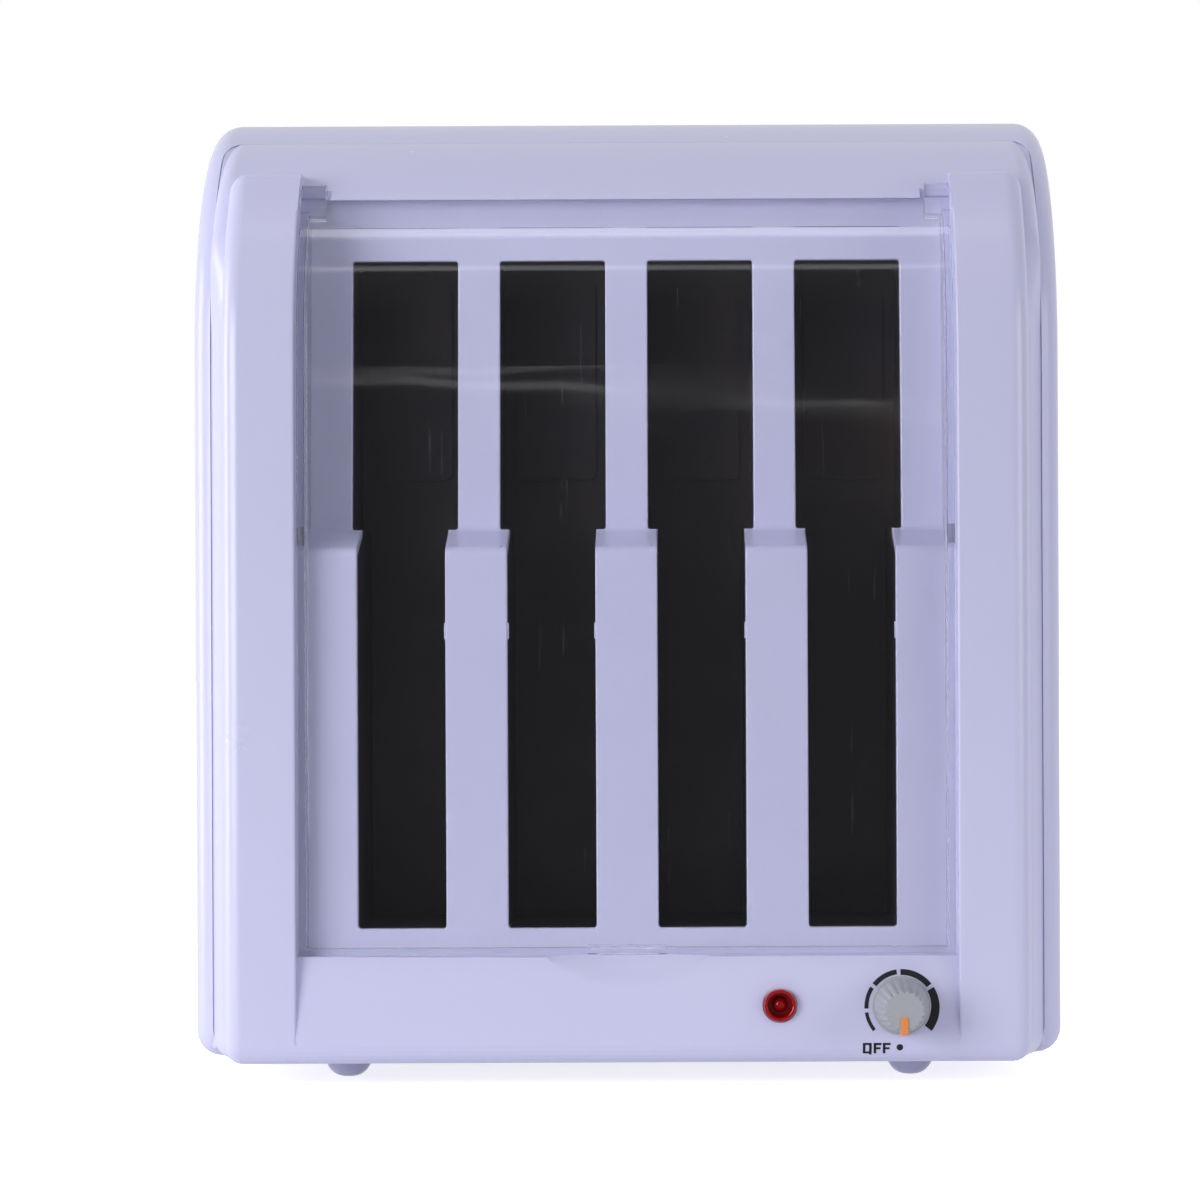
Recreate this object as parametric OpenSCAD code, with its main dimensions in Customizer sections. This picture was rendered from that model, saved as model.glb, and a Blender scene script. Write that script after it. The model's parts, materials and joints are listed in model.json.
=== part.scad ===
// Roll-on wax heater: an upright white case with four heated slots for wax
// cartridges, a clear lid hinged at the top, a pilot lamp and a heat knob.
//
// Two measures are used all through: "depth" runs back from the flat face of
// the two front pillars, and "height" runs up from the underside of the case.

/* [Casing] */
// Overall width of the rear case
case_w = 270; // [266:1:276]
// Height of the rear case, without the feet
case_h = 299.2; // [297:0.1:302]
// Depth from the pillar faces to the back wall
case_d = 140; // [136:1:150]
// Height of the feet
foot_h = 7; // [5:0.5:10]
// Wall thickness of both mouldings
wall = 3; // [2.5:0.1:3.2]
// Radius of the rear case's outer edges
rear_edge_r = 8; // [6:0.5:9]
// How far the rear case's rim lies behind the pillar faces
rim_back = 20; // [18:0.5:22]
// Radius of the rim's curve, seen from the side
rim_curve_r = 80; // [78:1:82]
// Width of the visible rim band around the front moulding
rim_step = 5.8; // [5:0.1:6.5]

/* [Front moulding] */
// Radius of the pillars' curved top, seen from the side
curve_r = 87; // [85:0.5:89]
// Height of the centre of that curve
curve_h = 213.5; // [211:0.5:216]
// How far the pillars stand out of the front moulding
pillar_step = 7; // [6:0.5:8]
// Half the width of the bay between the pillars
bay_half = 101.3; // [101:0.1:102]
// Distance from the middle to the outer edge of a pillar's flat face
pillar_out = 117.8; // [116:0.2:119]
// Height of the pillars' top ends
pillar_top = 271.9; // [271:0.1:273]
// Radius of the front moulding's outer edges
front_edge_r = 6; // [4:0.5:6.5]

/* [Bay and slots] */
// Height of the bay's floor, where the lid rests
bay_floor = 33; // [31:0.5:35]
// Height of the bay's ceiling, above the lid
bay_top = 267.3; // [267:0.1:268]
// Depth of the lower panel
panel_low = 9; // [8:0.5:11]
// Depth of the upper panel at its foot
panel_high = 27; // [25:0.5:29]
// Depth of the upper panel at the ceiling
panel_head = 34.5; // [32:0.5:36]
// Heights of the step between the panels, front and back
step_h = [157.8, 164];
// Distance between slot centres
slot_pitch = 46.2; // [45:0.1:47]
// Width of a slot's lower part, for the body of a cartridge
slot_w = 27.1; // [26:0.1:28]
// Width of a slot's upper part, for the roller head
head_w = 33; // [31:0.5:34]
// Height of the bottom of the slots
slot_floor = 41.1; // [39:0.1:43]
// Height of the top of the slots
slot_top = 248.3; // [246:0.1:250]
// Depth of the wells' back wall
well_back = 64; // [60:1:66]

/* [Lid] */
// Thickness of the lid
lid_t = 2; // [1.5:0.1:2.5]
// How far the lid's face lies behind the pillar faces
lid_inset = 1.5; // [1:0.1:2]
// Side gap between the lid and the pillars
lid_gap = 0.7; // [0.4:0.1:0.9]
// Depth of the hinge axis
hinge_d = 24; // [23:0.5:25]
// Height of the hinge axis
hinge_h = 268.2; // [268:0.1:268.5]
// Radius of the hinge pins
pin_r = 2; // [1.5:0.1:2.2]

/* [Controls] */
// Height of the lamp and the knob
control_h = 17.9; // [17:0.1:19]
// Distance of the lamp from the middle
lamp_x = 46.5; // [40:0.5:50]
// Distance of the knob from the middle
knob_x = 83.5; // [80:0.5:86]
// Diameter of the knob's skirt
knob_d = 18; // [16:0.5:19]
// How far the knob's face stands in front of the pillar faces
knob_reach = 16.5; // [14:0.5:20]
// Number of grip flutes around the knob
flutes = 20; // [16:1:24]
// Diameter of the lamp's bezel
lamp_d = 9.9; // [9:0.1:10]

/* [Hidden] */

// Colours
shell_white = [0.80, 0.80, 0.93];
heater_black = [0.09, 0.09, 0.10];
aluminium = [0.75, 0.76, 0.78];
steel = [0.62, 0.63, 0.66];
knob_grey = [0.60, 0.61, 0.63];
lamp_red = [0.75, 0.05, 0.05];
board_green = [0.10, 0.38, 0.22];
dark_plastic = [0.13, 0.13, 0.14];

$fn = 48;
ball_fn = 24;

// The gland's flange is the rearmost point and the knob the foremost
gland_proud = 4;
face_y = knob_reach - (case_d + gland_proud + knob_reach) / 2;

half_w = case_w / 2;
mouth_half = half_w - rim_step;
mouth_top = 289.2;
neck_gap = 0.2;
block_step = pillar_step;
curve_d = curve_r;
block_r = curve_r - block_step;
block_front_half = 125;
flank_d = 8;
rim_centre = [rim_back + rim_curve_r, case_h - rim_curve_r];
tongue = 10;
bay_wall = 2.5;
strip_recess = 3.5;
strip_back = 5.5;
slots = [-1.5, -0.5, 0.5, 1.5];
well_wall = 1.2;
well_gap = 0.3;
fit_gap = 0.05;
lid_half = bay_half - lid_gap;
lid_r = curve_r - lid_inset;
lid_top = 266.4;
lug_r = 3.4;
lug_w = 7.6;
lug_foot = 259.8;
dish_d = 8;
dish_lean = 32;
dish_r = 91;
lamp_face = 2.2;
nut_face = 2.6;
bushing_r = 3.5;
shaft_r = 3;
foot_x = 88;
foot_d = [32, 118];
element_t = 6;
bar_back = well_back + well_wall + element_t;
bar_t = 1.5;
bar_heights = [82, 176];
bar_post_x = 96;
screw_post = [[115, 20], [115, 150], [112, 252]];
screw_joint = 70;
gland_at = [-85, 24];
board_at = [12, 42];
board_size = [84, 62];
board_h = 8;
terminal_at = [-72, 92];

// ---------- drawing helpers ----------

// Points on an arc from angle a0 to a1
function arc(cx, cy, r, a0, a1, n = 8) =
    [for (i = [0:n]) let (a = a0 + (a1 - a0) * i / n) [cx + r * cos(a), cy + r * sin(a)]];

// Outline of a rectangle with rounded corners
function round_rect(x0, y0, x1, y1, r) = concat(
    arc(x1 - r, y0 + r, r, -90, 0, 4), arc(x1 - r, y1 - r, r, 0, 90, 4),
    arc(x0 + r, y1 - r, r, 90, 180, 4), arc(x0 + r, y0 + r, r, 180, 270, 4));

// A side outline of (depth, height) points, drawn out from x0 to x1
module across(x0, x1, points) {
    translate([x0, face_y, foot_h]) rotate([90, 0, 90])
        linear_extrude(x1 - x0) polygon(points);
}

// A front outline of (x, height) points, drawn back from depth d0 to d1
module inward(d0, d1, points) {
    translate([0, face_y + d1, foot_h]) rotate([90, 0, 0])
        linear_extrude(d1 - d0) polygon(points);
}

// A floor outline of (x, depth) points, drawn up from height h0 to h1
module upward(h0, h1, points) {
    translate([0, face_y, foot_h + h0]) linear_extrude(h1 - h0) polygon(points);
}

// A round bar along the depth
module rod(x, h, d0, d1, r, r2 = -1) {
    translate([x, face_y + d0, foot_h + h]) rotate([-90, 0, 0])
        cylinder(h = d1 - d0, r1 = r, r2 = r2 < 0 ? r : r2);
}

// A round bar across the width
module cross_rod(x0, x1, d, h, r) {
    translate([x0, face_y + d, foot_h + h]) rotate([0, 90, 0]) cylinder(h = x1 - x0, r = r);
}

// A box between two corners, each (x, depth, height)
module block(low, high) {
    translate([low[0], face_y + low[1], foot_h + low[2]]) cube(high - low);
}

// A ball, the rounding of a moulded corner
module ball(x, d, h, r) {
    translate([x, face_y + d, foot_h + h]) sphere(r = r, $fn = ball_fn);
}

module both_sides() {
    children();
    mirror([1, 0, 0]) children();
}

// ---------- front moulding ----------

// Half width of the front moulding's side at a given depth: it widens to the rim
function side_half(d) = block_front_half
    + (mouth_half - neck_gap - block_front_half) * min(1, max(0, (d - block_step) / flank_d));

// The front moulding's outer skin, or its inside when inset by the wall
module skin(inset) {
    r = front_edge_r;
    hull() for (s = [-1, 1]) {
        for (a = [180:-9:90]) {
            d = curve_d + (block_r - r) * cos(a);
            ball(s * (side_half(d - r) - r), d, curve_h + (block_r - r) * sin(a), r - inset);
        }
        ball(s * (block_front_half - r), block_step + r, r, r - inset);
        ball(s * (mouth_half - neck_gap - r), block_step + r + flank_d, r, r - inset);
        ball(s * (mouth_half - neck_gap - r), 110, r, r - inset);
        ball(s * (mouth_half - neck_gap - r), 110, curve_h + block_r - r, r - inset);
    }
}

// One front pillar, with a rounded outer edge and a rounded top end
module pillar() {
    r = front_edge_r;
    top = 180 - asin((pillar_top - curve_h) / curve_r);
    end = 180 - asin((pillar_top - r - curve_h) / (curve_r - r));
    root_r = block_r - 2;
    hull() {
        for (i = [0:5]) {
            a = 180 + (end - 180) * i / 5;
            ball(pillar_out, curve_d + (curve_r - r) * cos(a), curve_h + (curve_r - r) * sin(a), r);
        }
        ball(pillar_out, r, r, r);
        across(bay_half, bay_half + 0.5, concat(
            arc(r, r, r, 270, 180, 4), arc(curve_d, curve_h, curve_r, 180, top, 8),
            arc(curve_d, curve_h, root_r, top, 180, 6), [[block_step + 2, 0]]));
    }
}

// Side line of the slot panel's front face, moved back by a distance and run on
// past the bay's floor and ceiling by t: it steps back at the shelf and leans above it
function panel_line(back, t) = [
    [panel_low + back, bay_floor - t], [panel_low + back, step_h[0] - back * 0.75],
    [panel_high + back, step_h[1] - back * 0.75], [panel_head + back, bay_top],
    [panel_head + back, bay_top + t]];

// The bay's space down to a line behind the panel's face, with t of wall around it
module bay_form(back, t) {
    across(-bay_half - t, bay_half + t, concat(
        [[-25, bay_floor - t]], panel_line(back, t), [[-25, bay_top + t]]));
}

// The slot panel before its slots are cut, or its seat with some room around it
module panel_form(thick, room) {
    t = bay_wall + room;
    back = panel_line(thick, t);
    across(-bay_half - t, bay_half + t, concat(panel_line(0, t), [for (i = [4:-1:0]) back[i]]));
}

// Everything in front of the line where the front moulding's rear edge ends
module tongue_limit() {
    far = rim_centre[0] + tongue;
    across(-half_w, half_w, concat(
        [[-30, -5], [rim_back + tongue, -5]],
        arc(far, rim_centre[1], rim_curve_r, 180, 90, 12), [[-30, case_h]]));
}

// The front mouth that the rear case leaves for the front moulding
function mouth(gap, low) = round_rect(-mouth_half + gap, low, mouth_half - gap, mouth_top - gap, 6);

// The shallow dish in the control strip where a thumb gets under the lid
module thumb_dish() {
    translate([0, face_y + dish_d, foot_h + bay_floor]) rotate([-dish_lean, 0, 0])
        translate([0, -dish_r, -30]) cylinder(h = 31, r = dish_r, $fn = 180);
}

module front_case() color(shell_white) difference() {
    union() {
        difference() {
            union() {
                intersection() {
                    skin(0);
                    tongue_limit();
                    union() {
                        inward(rim_back - 1, 120, mouth(neck_gap, wall + neck_gap));
                        block([-half_w, -1, -1], [half_w, rim_back - neck_gap, case_h]);
                    }
                }
                both_sides() pillar();
                // control strip, which leans back towards its top
                across(-bay_half - 1, bay_half + 1, concat(
                    [[block_step + 4, bay_floor], [strip_recess, bay_floor]],
                    arc(front_edge_r, front_edge_r, front_edge_r, 180, 270, 5),
                    [[block_step + 4, 0]]));
            }
            // inside, less the walls around the bay
            difference() {
                union() {
                    skin(wall);
                    across(-bay_half + 2, bay_half - 2,
                        [[strip_back, wall], [block_step + 5, wall],
                         [block_step + 5, bay_floor - 3], [strip_back, bay_floor - 3]]);
                    both_sides() across(bay_half + wall, pillar_out - 1, concat(
                        [[wall + 1, 6]], arc(curve_d, curve_h, curve_r - wall, 180, 148, 4),
                        arc(curve_d, curve_h, block_r - 4, 148, 180, 4), [[block_step + 4, 6]]));
                }
                bay_form(1, bay_wall);
            }
            bay_form(2, 0);
        }
        // posts for the case screws
        both_sides() for (p = screw_post) rod(p[0], p[1], p[1] > curve_h ? 18 : 4.5, screw_joint, 4.5);
        // lip that lies on the rear case's floor
        across(-mouth_half + 10, mouth_half - 10,
            [[12, wall - 1], [rim_back - neck_gap, wall - 1], [rim_back - neck_gap, wall + neck_gap],
             [rim_back + 6, wall + neck_gap], [rim_back + 6, wall + 2.5], [12, wall + 2.5]]);
    }
    // seat for the slot panel on the rear edges of the bay's walls
    panel_form(bay_wall + 4, 0.2);
    // hinge holes and the notches that the lid's lugs swing in
    both_sides() {
        cross_rod(bay_half - 1, bay_half + 6.5, hinge_d, hinge_h, pin_r + fit_gap);
        block([bay_half - lug_w - 1.6, 0, bay_top - 4], [bay_half, panel_high + 4, pillar_top + 0.5]);
    }
    thumb_dish();
    // lamp and potentiometer holes, with flat seats cut into the leaning strip
    rod(lamp_x, control_h, -5, lamp_face, lamp_d / 2 + 0.4);
    rod(lamp_x, control_h, -5, 20, 4.1);
    rod(knob_x, control_h, -5, nut_face, 6.6);
    rod(knob_x, control_h, -5, 20, bushing_r + 0.1);
    // pilot holes
    both_sides() for (p = screw_post) rod(p[0], p[1], screw_joint - 18, screw_joint + 1, 1.75);
}

// ---------- slot panel ----------

// One slot through both parts of the panel, wider in the upper part
module slot_cut() {
    inward(-5, 75, round_rect(-slot_w / 2, slot_floor, slot_w / 2, step_h[1] + 5, 1));
    inward(panel_low + 3, 75, round_rect(-head_w / 2, step_h[1], head_w / 2, slot_top, 2));
}

// Part of the back wall of the bay within a range across and up, welded to the
// rear edges of the bay's walls, with its share of the slots and clamp bar posts
module slot_panel(x, h, sides, post_h, post_d) color(shell_white) difference() {
    union() {
        intersection() {
            panel_form(bay_wall, 0);
            block([x[0], -1, h[0]], [x[1], panel_head + 9, h[1]]);
        }
        for (s = sides) rod(s * bar_post_x, post_h, post_d, bar_back, 4.5);
    }
    for (i = slots) translate([i * slot_pitch, 0, 0]) slot_cut();
    for (s = sides) rod(s * bar_post_x, post_h, bar_back - 14, bar_back + 1, 1.55);
}

// Lower panel, which ends in the shelf
module lower_slot_panel()
    slot_panel([-half_w, half_w], [0, step_h[1]], [-1, 1], bar_heights[0], panel_low + 2);

// Left or right half of the upper panel, which stands on the shelf's rear edge and leans back
module upper_slot_panel(side)
    slot_panel(side < 0 ? [-half_w, 0] : [0, half_w], [step_h[1], case_h], [side],
        bar_heights[1], panel_high + 2);

// ---------- rear case ----------

// The rear case's outer form, or its inside when inset by the wall
module rear_form(inset) {
    r = rear_edge_r;
    x = half_w - r;
    back = case_d - r;
    hull() for (s = [-1, 1]) {
        for (a = [180:-10:90], turn = [0, 45, 90]) {
            corner = 4 * (180 - a) / 90;
            reach = rim_curve_r - r - corner + corner * sin(turn);
            ball(s * (x - corner + corner * cos(turn)),
                rim_centre[0] + reach * cos(a), rim_centre[1] + reach * sin(a), r - inset);
        }
        for (turn = [0, 45, 90])
            ball(s * (x - 4 + 4 * cos(turn)), back, case_h - r - 4 + 4 * sin(turn), r - inset);
        ball(s * x, rim_back + r, r, r - inset);
        ball(s * x, back, r, r - inset);
    }
}

module rear_case() color(shell_white) difference() {
    union() {
        difference() {
            rear_form(0);
            rear_form(wall);
            inward(rim_back - 5, 115, mouth(0, wall));
        }
        // tubes that lead the case screws in from the back
        both_sides() for (p = screw_post) rod(p[0], p[1], screw_joint, case_d - 1, 5.6);
        // posts under the control board and the terminal block
        for (sx = [0, 1], sd = [0, 1])
            upward(wall - 0.5, board_h, arc(
                board_at[0] + 5 + sx * (board_size[0] - 10), board_at[1] + 5 + sd * (board_size[1] - 10),
                3, 0, 345, 23));
    }
    both_sides() for (p = screw_post) {
        rod(p[0], p[1], screw_joint + 2.5, case_d + 1, 3.9);
        rod(p[0], p[1], screw_joint - 1, case_d, 1.9);
    }
    // screw holes for the board
    for (sx = [0, 1], sd = [0, 1])
        translate([board_at[0] + 5 + sx * (board_size[0] - 10),
                   face_y + board_at[1] + 5 + sd * (board_size[1] - 10), foot_h + 3.2])
            cylinder(h = 10, r = 1.3, $fn = 24);
    // cord entry
    rod(gland_at[0], gland_at[1], case_d - 10, case_d + 1, 6.1);
    // vents in the back wall and in the floor
    for (i = [-4:4])
        inward(case_d - 10, case_d + 1, round_rect(i * 14 - 2, 195, i * 14 + 2, 245, 1.9));
    for (i = [-4:4])
        upward(-1, wall + 1, round_rect(i * 14 - 8.75, 58, i * 14 - 5.25, 92, 1.7));
    // foot holes
    both_sides() for (d = foot_d)
        translate([foot_x, face_y + d, foot_h - 1]) cylinder(h = wall + 2, r = 2.6);
}

// ---------- lid ----------

// Clear cover: a curved face with a wall all round its sides and bottom, two
// hinge lugs with stub pins, and a small lip for the thumb
module lid() color([0.86, 0.89, 0.95, 0.35]) {
    t = lid_t;
    top = 180 - asin((lid_top - curve_h) / lid_r);
    inner_r = lid_r - t;
    inner_top = 180 - asin((lid_top - curve_h) / inner_r);
    low = bay_floor + 0.4;
    behind = panel_low - 0.7;
    clear = 1.2;
    face = concat(
        [[lid_inset, low]], arc(curve_d, curve_h, lid_r, 180, top, 14),
        arc(curve_d, curve_h, inner_r, inner_top, 180, 14), [[lid_inset + t, low]]);
    side = concat(
        [[lid_inset, low]], arc(curve_d, curve_h, lid_r, 180, top, 14),
        [[hinge_d - 1, lid_top + 0.4], [hinge_d + 2, lid_top - 1],
         [panel_head - 2.4, lug_foot], [panel_high - clear, step_h[1] + clear],
         [behind, step_h[0] + clear], [behind, low]]);
    union() {
        across(-lid_half, lid_half, face);
        block([-lid_half, lid_inset, low], [lid_half, behind, low + t]);
        for (s = [0, 1]) mirror([s, 0, 0]) {
            across(lid_half - t, lid_half, side);
            cross_rod(lid_half - lug_w, lid_half + 5.2, hinge_d, hinge_h, pin_r);
            cross_rod(lid_half - lug_w, lid_half, hinge_d, hinge_h, lug_r);
            across(lid_half - lug_w, lid_half, [
                [hinge_d - lug_r, hinge_h], [hinge_d + lug_r, hinge_h],
                [hinge_d + 1.5, lug_foot], [hinge_d - 8.2, lug_foot], [hinge_d - 4.4, hinge_h - 3]]);
        }
        // thumb lip
        across(-12, 12, [[lid_inset, low], [-0.6, low + 0.8], [-0.6, low + 2], [lid_inset, low + 3.4]]);
    }
}

// ---------- heating parts ----------

// One heater well: a deep black trough, wider above for the roller head
module heater_well() {
    t = well_wall;
    back = well_back + t;
    front_low = panel_low + bay_wall + well_gap;
    front_high = panel_high + bay_wall + well_gap;
    lean = (panel_head - panel_high) / (bay_top - step_h[1]);
    function front_at(h) = front_high + (h - step_h[1]) * lean;
    under_step = step_h[0] - bay_wall * 0.75 - well_gap - 0.6;
    shoulder = step_h[1] + 0.4;
    difference() {
        union() {
            across(-slot_w / 2 - t, slot_w / 2 + t, [
                [front_low, slot_floor - t], [back, slot_floor - t], [back, shoulder],
                [front_high, shoulder], [front_high, step_h[1] - bay_wall - 0.6], [front_low, under_step]]);
            across(-head_w / 2 - t, head_w / 2 + t, [
                [front_at(shoulder - t), shoulder - t], [back, shoulder - t], [back, slot_top + t],
                [front_at(slot_top + t), slot_top + t]]);
        }
        inward(0, well_back, round_rect(-slot_w / 2, slot_floor, slot_w / 2, slot_top - 1, 0.6));
        inward(0, well_back, round_rect(-head_w / 2, shoulder, head_w / 2, slot_top, 1));
    }
    // raised contact pad behind the roller head
    inward(well_back - 1, well_back + 0.5, round_rect(-12.7, 180.5, 12.7, 242.5, 3));
}

module well_at(i) color(heater_black) translate([slots[i] * slot_pitch, 0, 0]) heater_well();

// One flat heating element in its aluminium sleeve, with two lead stubs
module heating_element_at(i) translate([slots[i] * slot_pitch, 0, 0]) {
    d = well_back + well_wall;
    color(aluminium) difference() {
        inward(d, d + element_t, round_rect(-11, 66, 11, 192, 1.5));
        for (x = [-6:3:6]) inward(d + element_t - 0.6, d + element_t + 1,
            [[x - 0.6, 96], [x + 0.6, 96], [x + 0.6, 162], [x - 0.6, 162]]);
    }
    color("firebrick") for (x = [-4, 4])
        translate([x, face_y + d + element_t / 2, foot_h + 54]) cylinder(h = 12, r = 1.1, $fn = 20);
}

// Sprung steel bar that clamps the four elements to the wells
module clamp_bar(h) color(steel) difference() {
    inward(bar_back, bar_back + bar_t, round_rect(-bar_post_x - 7, h - 7, bar_post_x + 7, h + 7, 3));
    both_sides() rod(bar_post_x, h, bar_back - 1, bar_back + bar_t + 1, 1.8);
    for (x = [-1, 0, 1]) inward(bar_back - 1, bar_back + bar_t + 1,
        round_rect(x * slot_pitch - 8, h - 2, x * slot_pitch + 8, h + 2, 1.9));
}

// A pan-head screw that points to the front, its head seated at depth d
module screw(x, h, d, r, length, head_r, head_h) {
    difference() {
        union() {
            rod(x, h, d - length, d + 0.01, r);
            rod(x, h, d, d + head_h, head_r, head_r * 0.8);
        }
        for (a = [0, 90]) translate([x, face_y + d + head_h, foot_h + h]) rotate([0, a, 0])
            cube([head_r * 1.1, head_h, head_r * 0.28], center = true);
    }
}

module clamp_screws() color(steel) both_sides() for (h = bar_heights)
    screw(bar_post_x, h, bar_back + bar_t, 1.45, 12, 3.2, 2.2);

module case_screws() color(steel) both_sides() for (p = screw_post)
    screw(p[0], p[1], screw_joint + 2.5, 1.65, 17, 3.4, 2.6);

// Disc thermostat that cuts the heat if the wells get too hot
module thermal_cutout() color(dark_plastic) {
    d = bar_back + bar_t;
    h = bar_heights[1];
    difference() {
        inward(d, d + 1, round_rect(-12, h - 12, 12, h + 12, 6));
        rod(0, h + 9.4, d - 1, d + 2, 1.2);
        rod(0, h - 9.4, d - 1, d + 2, 1.2);
    }
    rod(0, h, d + 0.9, d + 9, 7.5);
    for (x = [-4.5, 4.5]) inward(d + 8.9, d + 16,
        [[x - 0.4, h - 3], [x + 0.4, h - 3], [x + 0.4, h + 3], [x - 0.4, h + 3]]);
}

// ---------- electrics ----------

module control_board() {
    x0 = board_at[0];
    d0 = board_at[1];
    w = board_size[0];
    l = board_size[1];
    top = board_h + 1.6;
    color(board_green) difference() {
        upward(board_h, top, round_rect(x0, d0, x0 + w, d0 + l, 1.5));
        for (sx = [5, w - 5], sd = [5, l - 5])
            translate([x0 + sx, face_y + d0 + sd, foot_h + board_h - 1]) cylinder(h = 4, r = 1.6, $fn = 24);
    }
    color("royalblue") block([x0 + 14, d0 + 30, top - 0.1], [x0 + 32, d0 + 48, top + 14]);
    color("gold") block([x0 + 40, d0 + 40, top - 0.1], [x0 + 58, d0 + 48, top + 13]);
    color(dark_plastic) {
        block([x0 + 66, d0 + 24, top - 0.1], [x0 + 78, d0 + 44, top + 10]);
        translate([x0 + 20, face_y + d0 + 15, foot_h + top - 0.1]) cylinder(h = 16, r = 6);
    }
    color(aluminium) difference() {
        block([x0 + 36, d0 + 8, top - 0.1], [x0 + 60, d0 + 18, top + 18]);
        for (i = [0:3]) block([x0 + 39 + i * 5.4, d0 + 11, top + 3], [x0 + 42 + i * 5.4, d0 + 19, top + 19]);
    }
}

module board_screws() color(steel) for (sx = [5, board_size[0] - 5], sd = [5, board_size[1] - 5])
    translate([board_at[0] + sx, face_y + board_at[1] + sd, foot_h + board_h + 1.6]) {
        cylinder(h = 1.8, r1 = 2.6, r2 = 2.1, $fn = 24);
        translate([0, 0, -5.5]) cylinder(h = 5.6, r = 1.2, $fn = 24);
    }

module terminal_block() {
    x = terminal_at[0];
    d = terminal_at[1];
    color("ivory") difference() {
        block([x - 18, d, wall], [x + 18, d + 18, wall + 15]);
        for (i = [-1:1]) translate([x + i * 11, 0, 0]) {
            translate([0, face_y + d + 9, foot_h + wall + 6]) cylinder(h = 12, r = 2.6, $fn = 24);
            rod(0, wall + 6, d - 1, d + 19, 1.8);
        }
    }
}

// Potentiometer behind the control strip, its threaded neck through the strip
module potentiometer() {
    color(steel) difference() {
        union() {
            rod(knob_x, control_h, strip_back, strip_back + 9, 8);
            rod(knob_x, control_h, nut_face - 2.6, strip_back + 0.1, bushing_r);
        }
        rod(knob_x, control_h, -10, strip_back + 7, shaft_r + fit_gap);
    }
    color("peru") for (x = [-5, 0, 5])
        block([knob_x + x - 0.6, strip_back + 1, control_h - 13], [knob_x + x + 0.6, strip_back + 1.6, control_h - 6.5]);
}

module potentiometer_nut() color(steel) difference() {
    translate([knob_x, face_y + nut_face - 2, foot_h + control_h]) rotate([-90, 0, 0])
        cylinder(h = 2, d = 10 / cos(30), $fn = 6);
    rod(knob_x, control_h, nut_face - 3, nut_face + 1, bushing_r + fit_gap);
}

module control_shaft() color(aluminium)
    rod(knob_x, control_h, -knob_reach + 3, strip_back + 6.7, shaft_r);

// ---------- knob ----------

skirt_back = -0.2;
skirt_t = 1.6;
cone_r = 8.4;
knob_top_r = 6.1;
pointer_w = 2.2;

// Side outline of the pointer, which runs over the face and down the cone
function pointer_outline(t) = [
    [-knob_reach - 0.01, -1.8], [-knob_reach - 0.01, -knob_top_r - 0.01],
    [skirt_back - skirt_t, -cone_r - 0.01], [skirt_back - skirt_t, -knob_d / 2],
    [skirt_back - skirt_t + t, -knob_d / 2], [skirt_back - skirt_t + t, -cone_r + t],
    [-knob_reach + t, -knob_top_r + t], [-knob_reach + t, -1.8]];

module knob() color(knob_grey) difference() {
    union() {
        rod(knob_x, control_h, skirt_back - skirt_t, skirt_back, knob_d / 2);
        difference() {
            rod(knob_x, control_h, -knob_reach, skirt_back - skirt_t + 0.1, knob_top_r, cone_r);
            // grip flutes, following the cone
            lean = atan((cone_r - knob_top_r) / (knob_reach + skirt_back - skirt_t));
            for (i = [0:flutes - 1]) if (i != 0)
                translate([knob_x, face_y - knob_reach, foot_h + control_h]) rotate([0, 360 / flutes * i, 0])
                    translate([0, 0, -knob_top_r - 0.35]) rotate([-90 - lean, 0, 0])
                        translate([0, 0, -2]) cylinder(h = knob_reach, r = 0.75, $fn = 16);
        }
    }
    // hollow over the nut, and the bore for the shaft
    rod(knob_x, control_h, -4, 1, 6.9);
    rod(knob_x, control_h, -knob_reach + 3, 0, shaft_r + 0.02);
    across(knob_x - pointer_w / 2 - 0.03, knob_x + pointer_w / 2 + 0.03, [
        for (p = pointer_outline(1.23)) [p[0] - (p[0] < -knob_reach ? 1 : 0), p[1] + control_h]]);
}

module knob_pointer() color([0.95, 0.45, 0.15])
    across(knob_x - pointer_w / 2, knob_x + pointer_w / 2,
        [for (p = pointer_outline(1.2)) [p[0], p[1] + control_h]]);

// ---------- pilot lamp ----------

// Red lens with a sunk dome inside its bezel
module lamp_lens() color(lamp_red) difference() {
    union() {
        rod(lamp_x, control_h, -0.6, lamp_face, lamp_d / 2);
        rod(lamp_x, control_h, lamp_face - 0.1, 12, 4);
    }
    difference() {
        rod(lamp_x, control_h, -1, 5, 3.8, 3.3);
        translate([lamp_x, face_y + 4.6, foot_h + control_h]) sphere(r = 2.6);
    }
    rod(lamp_x, control_h, 8, 13, 2.6);
}

module lamp_holder() color(dark_plastic) difference() {
    union() {
        rod(lamp_x, control_h, 12, 26, 4);
        for (x = [-2, 2]) rod(lamp_x + x, control_h, 25.9, 32, 0.7);
    }
    rod(lamp_x, control_h, 11, 20, 2.6);
}

// Spring ring that holds the lamp against the strip
module lamp_clip() color(steel) difference() {
    rod(lamp_x, control_h, strip_back, strip_back + 2, 6.2);
    rod(lamp_x, control_h, strip_back - 1, strip_back + 3, 4.02);
    block([lamp_x - 1, strip_back - 1, control_h + 3], [lamp_x + 1, strip_back + 3, control_h + 8]);
}

// ---------- feet and cord entry ----------

module foot(x, d) color(shell_white) translate([x, face_y + d, 0]) rotate_extrude() polygon(concat(
    [[0, 0]], [for (i = [0:8]) [3 + 4.5 * sin(i * 90 / 8), foot_h - foot_h * cos(i * 90 / 8)]],
    [[2.5, foot_h], [2.5, foot_h + wall + 0.1], [3.1, foot_h + wall + 0.1],
     [2, foot_h + wall + 3], [0, foot_h + wall + 3]]));

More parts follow.
